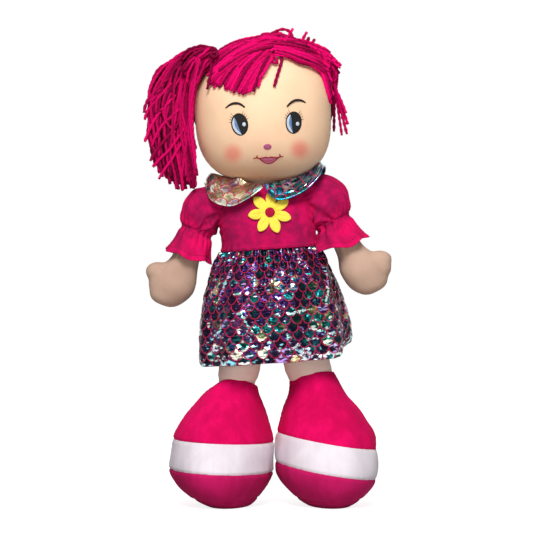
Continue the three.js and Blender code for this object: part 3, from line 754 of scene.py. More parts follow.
# Painted shade: the colour that the face knit is darkened towards below the chin
CHIN_SHADE_PAINT = (212, 164, 128)
EYES = {"left": (21.0, 28.0, 10.0), "right": (20.0, 27.5, -6.0)}
WHITE_EDGE = [(-0.46, 0.72), (-0.78, 0.38), (-0.86, 0.0), (-0.74, -0.42), (-0.42, -0.78), (-0.02, -0.92)]
IRIS_EDGE = [(-0.46, 0.72), (-0.56, 0.3), (-0.56, -0.05), (-0.42, -0.42), (-0.2, -0.74), (-0.02, -0.92)]
PUPIL_EDGE = [(-0.46, 0.72), (-0.3, 0.36), (-0.24, 0.0), (-0.16, -0.4), (-0.04, -0.76), (-0.02, -0.92)]
BROWS = {
    "left": (-5, 22, [(-11.6, -1.2, 0.75), (-6, 2.6, 1.25), (0, 4.2, 1.5), (6.5, 3, 1.3), (12, -1.2, 0.85)]),
    "right": (4, 23, [(-11.6, -3.2, 0.85), (-6, 1.9, 1.3), (0, 4.4, 1.5), (6, 4.1, 1.3), (11.5, 1.4, 0.75)]),
}
UPPER_LIP = [(-11.5, 0.8), (-7, 1.2), (-3, 2.0), (0, 1.1), (3.4, 2.0), (7, 1.4), (12.5, 1.2)]
LOWER_LIP = [(-11.5, 0.8), (-8.5, -1.8), (-4.5, -4.8), (0, -5.8), (4.5, -5.0), (9, -1.8), (12.5, 1.2)]
MOUTH_LINES = [
    [(-18.5, 1, 0.8), (-15, 1.6, 1), (-11.5, 0.8, 1.2), (-8.5, -1.8, 1), (-4.5, -4.8, 1), (0, -5.9, 1.1),
     (4.5, -5, 1), (9, -1.8, 1), (12.5, 1.2, 1.2), (15.5, 2.2, 1), (18.3, 2, 0.8)],
    [(*spot, 1.0) for spot in UPPER_LIP],
    [(-15, 1.4, 1.0), (-14.2, 3.0, 1.0), (-13.8, 4.4, 0.7)],
    [(15, 2.0, 1.0), (14.2, 3.8, 1.0), (13.8, 5.2, 0.7)],
    [(-6.5, -1.2, 0.6), (-2, -2.2, 0.8), (2.5, -2.0, 0.8), (7, -1.0, 0.6)],
]


def head_size(z, grow=0.0):
    """Half width and half depth of the head at a height above its middle."""
    z = np.asarray(z, float)
    level = np.clip(np.abs(z) / (HEAD_HALF[2] + grow), 0, 1)
    across = np.where(z < 0, JAW_FULLNESS, HEAD_FULLNESS)
    wide = (HEAD_HALF[0] + grow) * (1 - level**across) ** (1 / across)
    deep = (HEAD_HALF[1] + grow) * (1 - level**HEAD_FULLNESS) ** (1 / HEAD_FULLNESS)
    return wide, deep


def on_face(x, z, grow=0.0):
    """Points on the front of the head above a place on the face, in the doll's frame."""
    x, z = np.broadcast_arrays(np.asarray(x, float), np.asarray(z, float))
    wide, deep = head_size(z, grow)
    y = -deep * np.sqrt(np.clip(1 - (x / np.maximum(wide, 1e-6)) ** 2, 0, 1))
    return world(stacked(x, y, z), HEAD)


def on_head(direction, grow=0.0):
    """Points where rays from the middle of the head leave it, in the doll's frame."""
    direction = np.asarray(direction, float)
    direction = direction / size_of(direction)
    low = np.zeros(direction.shape[:-1])
    high = np.full(direction.shape[:-1], HEAD_FARTHEST)
    for _ in range(30):
        middle = (low + high) / 2
        x, y, z = np.moveaxis(direction * middle[..., None], -1, 0)
        wide, deep = (np.maximum(half, 1e-6) for half in head_size(z))
        inside = (np.abs(z) < HEAD_HALF[2]) & ((x / wide) ** 2 + (y / deep) ** 2 < 1)
        low = np.where(inside, middle, low)
        high = np.where(inside, high, middle)
    return world(direction * (low + grow)[..., None], HEAD)


def make_head():
    slope = (np.linspace(0.002, 0.998, 120) - 0.5) * math.pi
    c, s = np.cos(slope), np.sin(slope)
    level = s * (c**HEAD_FULLNESS + np.abs(s) ** HEAD_FULLNESS) ** (-1 / HEAD_FULLNESS)
    height = level[:, None] * HEAD_HALF[2]
    wide, deep = head_size(height)
    angle, x, y = ring(160)
    rings = stacked(wide * x, deep * y, height)
    out = normals_of(rings)
    off_seam = rings[..., 1] - HEAD_SEAM
    seam = bell(off_seam, 2.2) * (rings[..., 2] > -84)
    pucker = 0.5 * np.sin(rings[..., 2] * 0.9) * np.exp(-np.abs(off_seam) / 9)
    gather = 0.3 * np.sin(angle * 26) * np.clip((-rings[..., 2] - 76) / 12, 0, 1)
    rings = rings + out * (0.5 * waves(rings, 60, 1) - 0.8 * seam + pucker * 0.5 + gather)[..., None]
    head = loft("head_knit_skin", world(rings, HEAD), head_skin_finish())
    dress(head, "head", "skin_knit", "head_skin", "head_filling")


def head_skin_finish():
    """The face knit with two soft blush patches, and painted shade below the chin."""
    finish = face_knit
    x, y, z = finish.axes(finish.coords())
    colour = finish.colour
    front = y.smooth(-0.02, -0.04)
    for place_x, place_z, strength in BLUSH:
        middle = world((place_x, 0, place_z), HEAD) * MM
        dx = x - middle[0]
        dz = z - middle[2]
        patch = (dx * dx + dz * dz).math("SQRT").smooth(BLUSH_OUTER * MM, BLUSH_INNER * MM) * front
        colour = finish.mix(patch * strength, colour, BLUSH_COLOUR)
    # Painted shade: below the chin the knit is mixed towards a darker colour
    chin = world((0, 0, CHIN), HEAD)[2] * MM
    under = z.smooth(chin, chin - 20 * MM) * 0.8
    finish.set("Base Color", finish.mix(under, colour, CHIN_SHADE_PAINT))
    return finish


def face_patch(name, outline, x, z, finish, low=0.1, thick=0.9, count=7, centre=(0.0, 0.0)):
    """A thin raised patch on the face, from its outline round a centre, with soft edges."""
    outline = np.asarray(outline, float)
    rows = [on_face(x + outline[:, 0], z + outline[:, 1], -0.6)]
    for share in np.sin(np.linspace(1, 0.08, count) * math.pi / 2):
        spot = np.asarray(centre) + (outline - centre) * share
        lift = low + thick * (1 - share**6) ** 0.5
        rows.append(on_face(x + spot[:, 0], z + spot[:, 1], lift))
    return loft(name, np.array(rows), finish, 10.0, 10.0)


def oval(width, height, tilt=0.0, count=40):
    angle = circle(count)
    return turned(width / 2 * np.cos(angle), height / 2 * np.sin(angle), tilt)


def band(first, second):
    """A closed outline between two curves that share their ends."""
    return np.vstack([refine(first, 16), refine(second, 16)[::-1]])


def face_line(name, runs, x, z, finish, radius, lift):
    """Stitched lines on the face round a place; each run is a list of x, z and a thickness share."""
    strands, sizes = [], []
    for run in runs:
        dense = refine([(x + a, z + b, size) for a, b, size in run], 14)
        strands.append(on_face(dense[:, 0], dense[:, 1], lift))
        sizes.append(dense[:, 2])
    return tubes(name, strands, sizes, finish, radius)


def make_eye(name, hand):
    x, z = FACE_SHIFT + hand * EYE_SPACING / 2, -EYE_DROP
    width, height, tilt = EYES[name]

    def lean(points):
        spot = np.asarray(points, float) * (width / 2, height / 2)
        return turned(spot[:, 0], spot[:, 1], tilt)

    def inlay(kind, edges, middle, finish):
        centre = lean([middle])[0]
        return face_patch(f"{kind}_{name}", lean(band(*edges)), x, z, finish, 0.75, 0.35, centre=centre)

    eye = face_patch("eye_stitch_" + name, oval(width, height, tilt), x, z, black_thread, thick=0.8)
    dress(eye, "head", "black_thread", "eye_" + name)
    white = inlay("eye_white", (WHITE_EDGE, IRIS_EDGE), (-0.64, -0.1), white_thread)
    dress(white, "head", "white_thread")
    iris = inlay("iris_stitch", (IRIS_EDGE, PUPIL_EDGE), (-0.38, -0.1), blue_thread)
    dress(iris, "head", "blue_thread", "iris_" + name)
    spot = lean([(0.5, -0.08)])[0]
    highlight = face_patch("highlight_stitch_" + name, oval(4.6, 5.0, count=20), x + spot[0], z + spot[1],
                           white_thread, 0.8, 0.5, 5)
    dress(highlight, "head", "white_thread", "highlight_" + name)
    brow_x, brow_z, arc = BROWS[name]
    brow = face_line("brow_stitch_" + name, [arc], x + brow_x, z + brow_z, black_thread, 1.1, 0.3)
    dress(brow, "head", "black_thread", "brow_" + name)
    lashes = []
    for side in (-1, 1):
        for step in range(4):
            angle = math.radians(18 + 13 * step)
            root = np.array((side * width / 2 * math.cos(angle), height / 2 * math.sin(angle) + 0.5))
            tip = root + np.array((side * (3.0 - 0.3 * step), 1.6 + 0.9 * step)) * (0.8 + 0.12 * (step % 2))
            lash = np.stack([root * 0.97, (root + tip) / 2 + (side * 0.4, -0.4), tip])
            spots = lean(lash / (width / 2, height / 2))
            lashes.append([(*spot, size) for spot, size in zip(spots, (1.0, 0.8, 0.4))])
    dress(face_line("lashes_" + name, lashes, x, z, black_thread, 0.28, 0.2), "head", "black_thread")


def make_mouth_and_nose():
    nose = face_patch("nose_stitch", oval(9.6, 6.6), FACE_SHIFT, -NOSE_DROP, mauve_thread, thick=1.1)
    dress(nose, "head", "mauve_thread", "nose")
    rim = [(*spot, 1.0) for spot in oval(9.8, 6.9, count=16)]
    rim_line = face_line("nose_rim", [rim + rim[:1]], FACE_SHIFT, -NOSE_DROP, pale_thread, 0.3, 0.15)
    dress(rim_line, "head", "mauve_thread")
    x, z = FACE_SHIFT + 0.8, -LIP_DROP
    outline = band(UPPER_LIP, LOWER_LIP)
    lips = face_patch("lips_stitch", outline, x, z, lip_thread, 0.1, 1.0, centre=(0, -1.5))
    dress(lips, "head", "lip_thread", "lips")
    dress(face_line("mouth_line", MOUTH_LINES, x, z, mouth_thread, 0.74, 0.75), "head", "lip_thread")


# Hair

def slide(first, second, count):
    """Directions that turn evenly from one to another."""
    first = np.asarray(first, float) / np.linalg.norm(first)
    second = np.asarray(second, float) / np.linalg.norm(second)
    angle = math.acos(float(np.clip(first @ second, -1, 1)))
    t = np.linspace(0, 1, count)[:, None]
    return (np.sin((1 - t) * angle) * first + np.sin(t * angle) * second) / math.sin(angle)


PARTING = [(3.5, -50, 72), (4, -36, 82), (3, -18, 89), (1, 6, 91), (0, 34, 84), (0, 58, 66), (0, 74, 38),
           (0, 80, 6), (0, 76, -26), (0, 66, -54)]
TIES = {name: local(JOINTS["hair_" + name + "_swing"], HEAD) for name in HANDS}


CAP_AXIS = np.array((0, 112.0, 86.0)) / math.hypot(112, 86)
CAP_REACH = 86.0


def make_cap():
    """Rows of yarn from the parting to each tie."""
    source = np.random.default_rng(11)
    t = np.linspace(0, 1, 11)
    strands = []
    for name, hand in HANDS.items():
        tie = TIES[name]
        for layer, count in ((0, 62), (1, 54), (2, 34)):
            starts = refine(PARTING, count)
            starts = starts + source.normal(0, 1.2, starts.shape)
            for i, start in enumerate(starts):
                where = tie + (hand * 2, source.normal(0, 5), source.normal(0, 5))
                bulge = 1.2 * np.sin(t * 3.1) * source.uniform(-0.5, 1)
                lift = CAP_LIFT + layer * 2.1 + (i % 3) * 1.4 * t + bulge
                if hand < 0 and start[1] < 40:
                    lift = 1.3 + lift * 0.2
                sway = np.sin(t * math.pi)[:, None] * source.normal(0, 0.02, 3)
                strands.append(on_head(slide(start, where, 11) + sway, lift))
        for low, start in zip(np.linspace(0, 1, 44), refine(PARTING[5:], 44)):
            bend = np.array((hand * 72, 42, 4 - 44 * low)) + source.normal(0, 1.5, 3)
            path = refine([start, bend, tie], 15)
            bulge = 2.4 * source.uniform(0, 1) * np.sin(np.linspace(0, 3.1, 15))
            strands.append(on_head(path, CAP_LIFT + bulge))
    dress(yarn("yarn_cap", strands, hair_yarn, 21), "head", "yarn", "hair_cap")


def make_scalp():
    """The cloth below the rows of yarn."""
    angle = circle(96)[:, None]
    side = np.array((1.0, 0, 0))
    around = np.cos(angle) * side - np.sin(angle) * np.cross(side, CAP_AXIS)
    limit = np.radians(CAP_REACH - 7 * np.maximum(0, -around[:, 2]))[:, None]
    rows = []
    for share in np.linspace(0.004, 1.0, 44):
        rows.append(np.cos(share * limit) * CAP_AXIS + np.sin(share * limit) * around)
    scalp = loft("yarn_base", on_head(np.array(rows), 2.2), hair_yarn, 60, 30, caps=False)
    thicken(scalp, CLOTH["scalp"])
    dress(scalp, "head", "yarn")


def photo_face(px, py):
    """A place on the face from a pixel of the photograph, in the head's own frame."""
    x = (px - PHOTO_MIDDLE) * MM_PER_PIXEL
    z = (PHOTO_FLOOR - py) * MM_PER_PIXEL - JOINTS["head_nod"][2]
    return turned(x, z, HEAD_ROLL)


def lock(starts, middles, ends, count, seed, lift=(2.5, 8.0), spread=1.4):
    """Strands over the face between three curves of pixels."""
    source = np.random.default_rng(seed)
    curves = [refine([photo_face(*spot) for spot in curve], count) for curve in (starts, middles, ends)]
    t = np.linspace(0, 1, 9)
    strands = []
    for i in range(count):
        a, b, c = (curve[i] + source.normal(0, spread, 2) for curve in curves)
        c = c + source.normal(0, spread, 2)
        path = refine([a, (a + b) / 2 + (0, 1.5), b, (b + c) / 2 + (0, 1.5), c], 9)
        height = source.uniform(*lift)
        strands.append(on_face(path[:, 0], path[:, 1], height * (1 - 0.45 * t**2)))
    return strands


def make_fringe():
    left = []
    for seed, lift in ((31, (2.0, 3.6)), (32, (3.6, 5.6)), (33, (5.4, 7.6))):
        left += lock(
            [(260, 47), (266, 51), (270, 57), (272, 62)],
            [(229, 62), (242, 68), (254, 74), (263, 76)],
            [(210, 86), (222, 90), (236, 95), (247, 96), (257, 90)], 18, seed, lift)
    for seed, lift in ((34, (4.0, 6.5)), (40, (6.0, 9.0))):
        left += lock([(250, 42), (257, 44), (264, 49)], [(224, 54), (230, 59), (238, 65)],
                     [(208, 68), (210, 77), (213, 86)], 13, seed, lift)
    left += lock([(284, 35), (277, 40), (271, 48)], [(258, 41), (252, 47), (248, 56)],
                 [(224, 53), (221, 62), (219, 72)], 15, 42, (7.0, 10.0), 2.0)
    piece = yarn("yarn_fringe_left", left, hair_yarn, 35)
    dress(piece, "head", "yarn", "fringe_left")
    right = []
    for seed, lift in ((36, (2.0, 4.0)), (37, (4.0, 7.0)), (38, (6.0, 9.5))):
        right += lock(
            [(266, 43), (269, 49), (275, 56)],
            [(300, 42), (301, 53), (299, 65)],
            [(329, 54), (332, 64), (321, 73)], 15, seed, lift)
    right += lock([(300, 50), (304, 58), (306, 64)], [(322, 62), (322, 68), (320, 74)],
                  [(334, 84), (331, 94), (329, 104)], 7, 43, (3.0, 6.0))
    piece = yarn("yarn_fringe_right", right, hair_yarn, 39)
    dress(piece, "head", "yarn", "fringe_right")


LOOSE_STRANDS = [
    (2.6, (277, 56), (281.4, 59), (281, 66), (278, 76), (274, 90)),
    (4.5, (272, 58), (276, 62), (277, 66), (273, 66), (272, 62)),
    (8.0, (268, 38), (276, 32.5), (283, 30.4), (290, 33), (293, 40)),
    (8.0, (284, 44), (288, 38), (291, 33), (293, 29.5)),
    (6.0, (299, 46), (302, 42), (305, 36), (307, 33)),
    (6.0, (303, 48), (307, 43), (309, 38)),
    (6.0, (306, 50), (311, 45), (315, 40)),
]


def make_loose_strands():
    """Single strands on the forehead, stray ends and loops on the crown."""
    strands = []
    for lift, *pixels in LOOSE_STRANDS:
        spots = refine([photo_face(*pixel) for pixel in pixels], 10)
        strands.append(on_face(spots[:, 0], spots[:, 1], lift))
    dress(yarn("yarn_loose", strands, hair_yarn, 41), "head", "yarn")


BUNCH_GUIDES = [
    [(195, 66), (190, 55), (175, 59), (159, 72), (151.5, 87), (149, 106), (150, 131), (154, 156),
     (161, 180)],
    [(195, 66), (192, 57), (184, 66), (177, 84), (173, 108), (172, 134), (174, 158), (177, 178), (180, 195)],
    [(195, 67), (194, 70), (192.5, 78), (191, 92), (190, 112), (190, 135), (191.5, 156), (194.5, 174),
     (197, 191)],
]
BUNCH_LOOPS = [
    [(184, 62), (172, 74), (160, 90), (154, 104), (156, 114), (163, 110), (166, 98), (172, 88)],
    [(186, 70), (176, 86), (168, 102), (165, 116), (169, 121), (174, 113), (178, 100)],
    [(180, 56), (164, 68), (153, 84), (149, 97), (152, 102), (158, 94), (164, 84)],
]


BUNCH_STRANDS = 118
BUNCH_ROWS = 25
BUNCH_HALF_DEPTH = 20
HANK_ROWS = 30


def cut_end(guide, source):
    """A smooth strand through a guide, cut off at or a little before its end."""
    return refine(guide, HANK_ROWS)[: int(HANK_ROWS * source.uniform(0.84, 1.0))]


def make_bunch_left():
    source = np.random.default_rng(51)
    guides = refine(BUNCH_GUIDES, 101)
    middle_depth = JOINTS["hair_left_swing"][1]
    growth = np.array((0, 0.5, 0.8, 1, 1, 1, 1, 0.9, 0.8))[:, None]
    breadth = np.interp(np.linspace(0, 1, BUNCH_ROWS), (0, 0.3, 1), (0.3, 1, 0.85))
    strands = []
    for i in range(BUNCH_STRANDS):
        share = (i + source.uniform(0, 1)) / BUNCH_STRANDS
        b = source.uniform(-1, 1)
        pixels = guides[int(share * 100)] + source.normal(0, 1.5, (9, 2)) * growth
        path = refine(in_picture(pixels, 0), BUNCH_ROWS)
        path[:, 1] = middle_depth + b * BUNCH_HALF_DEPTH * breadth - 3
        kept = source.uniform(0.62, 1.0) if share < 0.22 else source.uniform(0.86, 1.0)
        strands.append(path[: max(6, int(BUNCH_ROWS * kept))])
    for pixels in BUNCH_LOOPS + STRAY_ENDS:
        strands.append(in_picture(pixels, middle_depth - BUNCH_HALF_DEPTH))
    for _ in range(12):
        pixels = np.asarray(FACE_SIDE) + source.normal(0, 0.9, 2) + source.normal(0, 0.5, (8, 2))
        depth = np.linspace(-36, -30, 8) + source.normal(0, 3)
        strands.append(cut_end(in_picture(pixels, depth), source))
    piece = yarn("yarn_bunch_left", strands, bunch_yarn_painted_shade, 52, step=2.6)
    dress(piece, "hair_left", "yarn", "hair_bunch_left")


KNOT_FANS = [
    (16, [(214, 52), (206, 50), (198, 50.5), (189, 54), (183, 61)], (-26, -24, -20, -14, -8), 1.4),
    (20, [(214, 54), (206, 54), (198, 58), (190, 66), (183, 77)], (-30, -29, -26, -20, -12), 2.2),
    (20, [(214, 54), (206, 58), (199, 65), (193, 76), (190, 90)], (-34, -34, -28, -20, -14), 2.6),
    (10, [(214, 58), (208, 65), (203, 72), (199, 80), (196, 90)], (-40, -42, -38, -34, -30), 1.6),
]
STRAY_ENDS = [
    [(172, 84), (156, 102), (148, 112), (145, 121)], [(176, 96), (158, 116), (150, 130), (145, 143)],
    [(180, 110), (163, 126), (155, 139), (152, 148)], [(182, 120), (166, 140), (156, 152), (150.5, 162)],
    [(184, 130), (170, 150), (160, 160), (153, 168)], [(184, 140), (172, 160), (165, 170), (159, 180)],
    [(168, 88), (163, 106), (166, 122), (176, 134)], [(170, 78), (152, 96), (146, 106), (144.5, 114)],
]
FACE_SIDE = [(198, 62), (199, 68), (197, 78), (194, 90), (191.6, 112), (191.4, 134), (194, 154),
             (198.5, 180)]


def make_side_left():
    """The hank from the knot over the temple, and the strands that hang beside the face."""
    source = np.random.default_rng(71)
    strands = []
    for count, pixels, depth, spread in KNOT_FANS:
        for _ in range(count):
            shift = source.normal(0, spread, 2) * 0.7
            jitter = source.normal(0, spread * 0.45, (len(pixels), 2))
            moved = np.asarray(pixels) + shift + jitter
            guide = in_picture(moved, np.asarray(depth) + source.normal(0, 3.2))
            strands.append(cut_end(guide, source))
    for pixels in ([(216, 57), (212, 56), (211, 62), (212, 74), (208, 92)],
                   [(213, 50), (217, 53), (218, 58), (214, 60), (210, 56)]):
        strands.append(in_picture(pixels, (-44, -48, -50, -52, -54)))
    dress(yarn("yarn_side_left", strands, bunch_yarn_painted_shade, 72, step=2.4), "head", "yarn")


RIGHT_TOPS = [(334, 58, 4), (342, 65, 8), (340, 73, 14), (337, 78, 20), (341, 68, 2), (338, 61, 0)]
RIGHT_ENDS = [(347, 113, 18), (349, 124, 26), (348, 134, 22), (343, 135, 30), (335, 131, 34)]


def make_bunch_right():
    source = np.random.default_rng(61)
    tie = JOINTS["hair_right_swing"]
    strands = []
    for _ in range(44):
        a, b = source.uniform(-1, 1, 2)
        length = 119 - source.uniform(0, 20)
        start = tie + (4, b * 5, a * 5)
        first = tie + (10 + 3 * a, 9 + 5 * b, 2)
        bend = tie + (8 + 8 * a, 24 + 8 * b, -24)
        middle = tie + (-4 + 12 * a, 42 + 9 * b, -62)
        low = tie + (-22 + 14 * a + source.normal(0, 2), 46 + 9 * b, -96)
        end = tie + (-30 + 13 * a + source.normal(0, 3), 43 + 9 * b, -length)
        strands.append(np.array([start, first, bend, middle, low, end]))
    start = tie + (2, 2, 0)
    for *pixel, depth in RIGHT_TOPS:
        end = in_picture([pixel], tie[1] + depth)[0]
        rise = start * 0.6 + end * 0.4 + (0, 0, 3)
        strands.append(np.array([start, rise, start * 0.25 + end * 0.75 + (0, 0, 2), end]))
    start = tie + (4, 4, 0)
    knee = tie + (13, 16, -30)
    for *pixel, depth in RIGHT_ENDS:
        end = in_picture([pixel], tie[1] + depth)[0]
        rise = start * 0.4 + knee * 0.6 + (5, 0, 3)
        strands.append(np.array([start, rise, knee, knee * 0.5 + end * 0.5, end]))
    dress(yarn("yarn_bunch_right", strands, hair_yarn, 62), "hair_right", "yarn", "hair_bunch_right")


def make_ties():
    turn = np.linspace(0, 2 * math.pi * 3, 80)
    coil = stacked(-1.5 + 1.6 * turn / (2 * math.pi), TIE_RADIUS * np.cos(turn), TIE_RADIUS * np.sin(turn))
    for name, hand in HANDS.items():
        line = JOINTS["hair_" + name + "_swing"] + coil * (hand, 1, 1)
        piece = tubes("hair_band_" + name, [line], [np.ones(len(line))], red_felt, 1.6)
        dress(piece, "hair_" + name, "red_felt", "hair_tie_" + name)


# Torso, bodice, collar and flower

TORSO_SHARES = [(0, 0.84, 0.14), (0.06, 0.9, 0.25), (0.14, 0.95, 0.48), (0.25, 0.98, 0.79), (0.38, 1, 1),
                (0.6, 1, 1), (0.78, 0.99, 0.93), (0.88, 0.88, 0.8), (0.95, 0.7, 0.68), (1, 0.5, 0.6)]
TORSO_CURVE = refine(TORSO_SHARES, 160)


def nip(x, height):
    """How far the left side of the waist is drawn in."""
    return WAIST_NIP * bell(height - WAIST - 12, 24) * np.clip(-x * 2 / TORSO_WIDTH, 0, 1)


def torso_rings(low, high, rows, columns, grow):
    height = np.linspace(low, high, rows)[:, None]
    share = height / TORSO_HEIGHT
    wide = np.interp(share, TORSO_CURVE[:, 0], TORSO_CURVE[:, 1]) * TORSO_WIDTH / 2 + grow
    deep = np.interp(share, TORSO_CURVE[:, 0], TORSO_CURVE[:, 2]) * TORSO_DEPTH / 2 + grow
    angle, x, y = ring(columns, BODY_FULLNESS)
    rings = stacked(wide * x, deep * y, height)
    rings[..., 0] += nip(rings[..., 0], rings[..., 2])
    return angle, rings


def make_torso():
    _, rings = torso_rings(0, TORSO_HEIGHT, 60, 72, 0.0)
    piece = loft("torso_cloth", world(rings, TORSO), limb_knit_painted_shade)
    dress(piece, "torso", "skin_knit", "body")
    place = placement(world((0, 0, TORSO_HEIGHT), TORSO), TORSO_TILT)
    _, x, y = ring(48)
    rings = stacked(NECK_RADIUS * x, NECK_RADIUS * y, np.linspace(0.5, 9, 8)[:, None])
    dress(loft("neck_cloth", world(rings, place), limb_knit_painted_shade), "neck", "skin_knit", "neck")


def make_bodice():
    angle, rings = torso_rings(WAIST + 1, TORSO_HEIGHT - NECK_OPENING / 4, 84, 200, 1.9)
    height = rings[..., 2]
    aside = np.abs(rings[..., 0])
    out = normals_of(rings)
    near_waist = np.clip(1 - (height - WAIST) / 26, 0, 1)
    gathers = 0.8 * np.sin(angle * 31 + 2 * np.sin(angle * 3)) * near_waist**2
    drape = 0.9 * waves(rings * (1, 1, 0.6), 46, 3) + 0.35 * waves(rings, 17, 4)
    roll = 1.0 * bell(height - WAIST - 3, 2.5)
    armpit = bell(aside - 58, 9) * bell(height - 84, 13)
    crease = 1.1 * np.sin(height * 0.55 + aside * 0.5) * armpit
    rings = rings + out * (gathers + drape + roll + crease)[..., None]
    piece = loft("bodice_velvet", world(rings, TORSO), velvet, 0.36, 0.08, caps=False)
    thicken(piece, CLOTH["bodice"])
    dress(piece, "torso", "velvet", "bodice")
    # Raised stitches in dark thread along the waist seam; their darkness is painted shade for the dashed
    # shade along the seam
    seam = world(rings[3] + out[3] * 0.1, TORSO)
    dress(stitches("waist_stitches", seam, seam_thread_and_shade), "torso", "velvet")
    return piece


SLEEVE_FULLNESS = {"left": 0.25, "right": 0.75}
SLEEVE_PUFF = {"left": 2.2, "right": 5.2}
CUFF_FULLNESS = {"left": (0.2, 0.08), "right": (0.5, 0.55)}
CUFF_LIFT = {"left": 5.0, "right": 17.0}
ARMHOLE_ROWS = 8


def sleeve_surface(name, hand, rows, columns):
    """Rings of the puffed sleeve, which fan from the armhole round to the elastic."""
    bow = -hand * ARM_BOW * math.sin(math.pi * SLEEVE_LENGTH / ARM_REACH)
    lean = math.radians(ARM_LEAN[name])
    along = np.array((-math.cos(lean), 0, -math.sin(lean)))
    centre = np.array((math.sin(lean) * SLEEVE_LENGTH, 0, -math.cos(lean) * SLEEVE_LENGTH))
    centre[0] += bow * hand * math.cos(lean)
    centre[2] -= bow * hand * math.sin(lean)
    reach = (ARMHOLE_SPACING + centre[0]) / math.cos(lean)
    pivot = centre + along * reach
    start_reach = 1.5 - pivot[2]
    angle = circle(columns)
    sine = np.sin(angle)[:, None]
    cosine = np.cos(angle)[:, None]
    fan = slide((0, 0, 1.0), -along, 101)
    rings = []
    for t in np.linspace(0, 1, rows - ARMHOLE_ROWS):
        direction = fan[int(round(t * 100))]
        swell = math.sin(math.pi * min(1, t * 1.02)) ** 0.8
        far_off = start_reach * (1 - t) + reach * t + SLEEVE_PUFF[name] * swell
        tall = ARMHOLE_HALF[0] * (1 - t) + ELASTIC_RADIUS * t + 4.6 * swell
        deep = ARMHOLE_HALF[1] * (1 - t) + ELASTIC_RADIUS * t + 4.4 * swell
        inner = np.where(sine < 0, 1 + SLEEVE_FULLNESS[name] * swell, 1.0)
        rings.append(pivot + direction * far_off + sine * direction * tall * inner
                     + cosine * np.array((0, 1.0, 0)) * deep)
    middle = rings[0].mean(0)
    tucked = []
    for share in np.linspace(1, 1 / ARMHOLE_ROWS, ARMHOLE_ROWS):
        tuck = np.array((-13, 0, -8)) * share
        tucked.append(middle + (rings[0] - middle) * (1 - 0.42 * share**1.6) + tuck)
    rings = np.array(tucked + rings)
    rings[..., 0] *= hand
    return angle, rings + JOINTS["shoulder_" + name]


def make_sleeve(name, hand):
    rows = 72
    angle, rings = sleeve_surface(name, hand, rows, 144)
    t = np.linspace(0, 1, rows)[:, None]
    belly = np.sin(math.pi * t)
    pleat = broadened(np.sin(angle * 17 + 1.3 * np.sin(angle * 2 + 1) + 2.5 * np.sin(3 * t + angle)), 0.7)
    near_elastic = np.clip((t - 0.45) / 0.55, 0, 1) ** 1.6 * (1 - 0.75 * np.clip((t - 0.88) / 0.12, 0, 1))
    near_top = np.clip(1 - t / 0.4, 0, 1) ** 1.5
    soft = 1.9 * waves(rings, 30, 7 if name == "left" else 8) * belly
    broad = 2.0 * np.sin(angle * 8 + 1.5 * np.sin(angle * 3 + 2) + 1.2 * t) * belly
    relief = 2.1 * pleat * near_elastic + 1.2 * pleat * near_top + np.maximum(soft + broad, -1.2)
    rings = rings + normals_of(rings) * hand * relief[..., None]
    piece = loft("sleeve_velvet_" + name, rings[:, ::hand], velvet, 0.16, 0.07, caps=False)
    thicken(piece, CLOTH["sleeve"])
    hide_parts("sleeve_" + name)
    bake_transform(piece)
    return piece


def arm_bow(hand, z):
    return -hand * ARM_BOW * np.sin(math.pi * np.clip(-z / ARM_REACH, 0, 1))


def make_cuff(name, hand):
    """The elastic channel, with its ruched edge, and the flared cuff below it."""
    rows = 60
    t = np.linspace(0, 1, rows)[:, None]
    angle = circle(168)
    share = np.clip((t - 0.16) / 0.84, 0, 1)
    flare = (CUFF_WIDTH / 2 - ELASTIC_RADIUS) * (0.65 * share + 0.35 * share**2)
    radius = ELASTIC_RADIUS - 0.6 - 2.2 * bell(t - 0.12, 0.1) + flare
    pleat = broadened(np.sin(angle * 17 + 1.3 * np.sin(angle * 2 + 1) + 0.8), 0.7)
    ruffle = 2.4 * np.sin(angle * 7 + (1 if name == "left" else 2.2)) * share**1.5
    folds = 1.5 * pleat * bell(share, 0.45)
    groove = -0.5 * bell(t - 0.83, 0.018)
    upper, lower = CUFF_FULLNESS[name]
    inward = np.maximum(0, -hand * np.cos(angle))
    inner = 1 + inward * (upper + (lower - upper) * share**0.7)
    radius = np.maximum((radius + folds + ruffle) * inner, ELASTIC_RADIUS - 2.0) + groove
    drop = SLEEVE_LENGTH - 4.0 + t * (ELASTIC_WIDTH + CUFF_LENGTH + 5)
    wave = 1.6 * np.sin(angle * 5 + 2) * share
    z = CUFF_LIFT[name] * inward**1.2 * share - drop - wave
    rings = stacked(arm_bow(hand, z) + radius * np.cos(angle), radius * np.sin(angle), z)[::-1]
    piece = loft("cuff_velvet_" + name, world(rings, ARMS[name]), velvet, 0.17, 0.04, caps=False)
    thicken(piece, CLOTH["cuff"])
    dress(piece, "arm_" + name, "velvet", "cuff_" + name, "sleeve_elastic_" + name)
    row = rings[int(rows * 0.17)]
    out = row - row.mean(0)
    seam = world(row + out / size_of(out) * 0.15, ARMS[name])
    dress(stitches("cuff_stitches_" + name, seam, seam_thread_and_shade), "arm_" + name, "velvet")


ARM_SHARES = [(-1, 0, 0.3), (-0.97, 0, 0.62), (-0.9, 0, 0.87), (-0.8, 0, 1), (-0.68, 0.1, 0.86),
              (-0.57, 0.5, 0.36), (-0.48, 0.84, 0), (-0.34, 0.8, 0), (-0.22, 0.82, 0), (-0.06, 0.95, 0),
              (0.06, 0.9, 0), (0.13, 0.6, 0)]


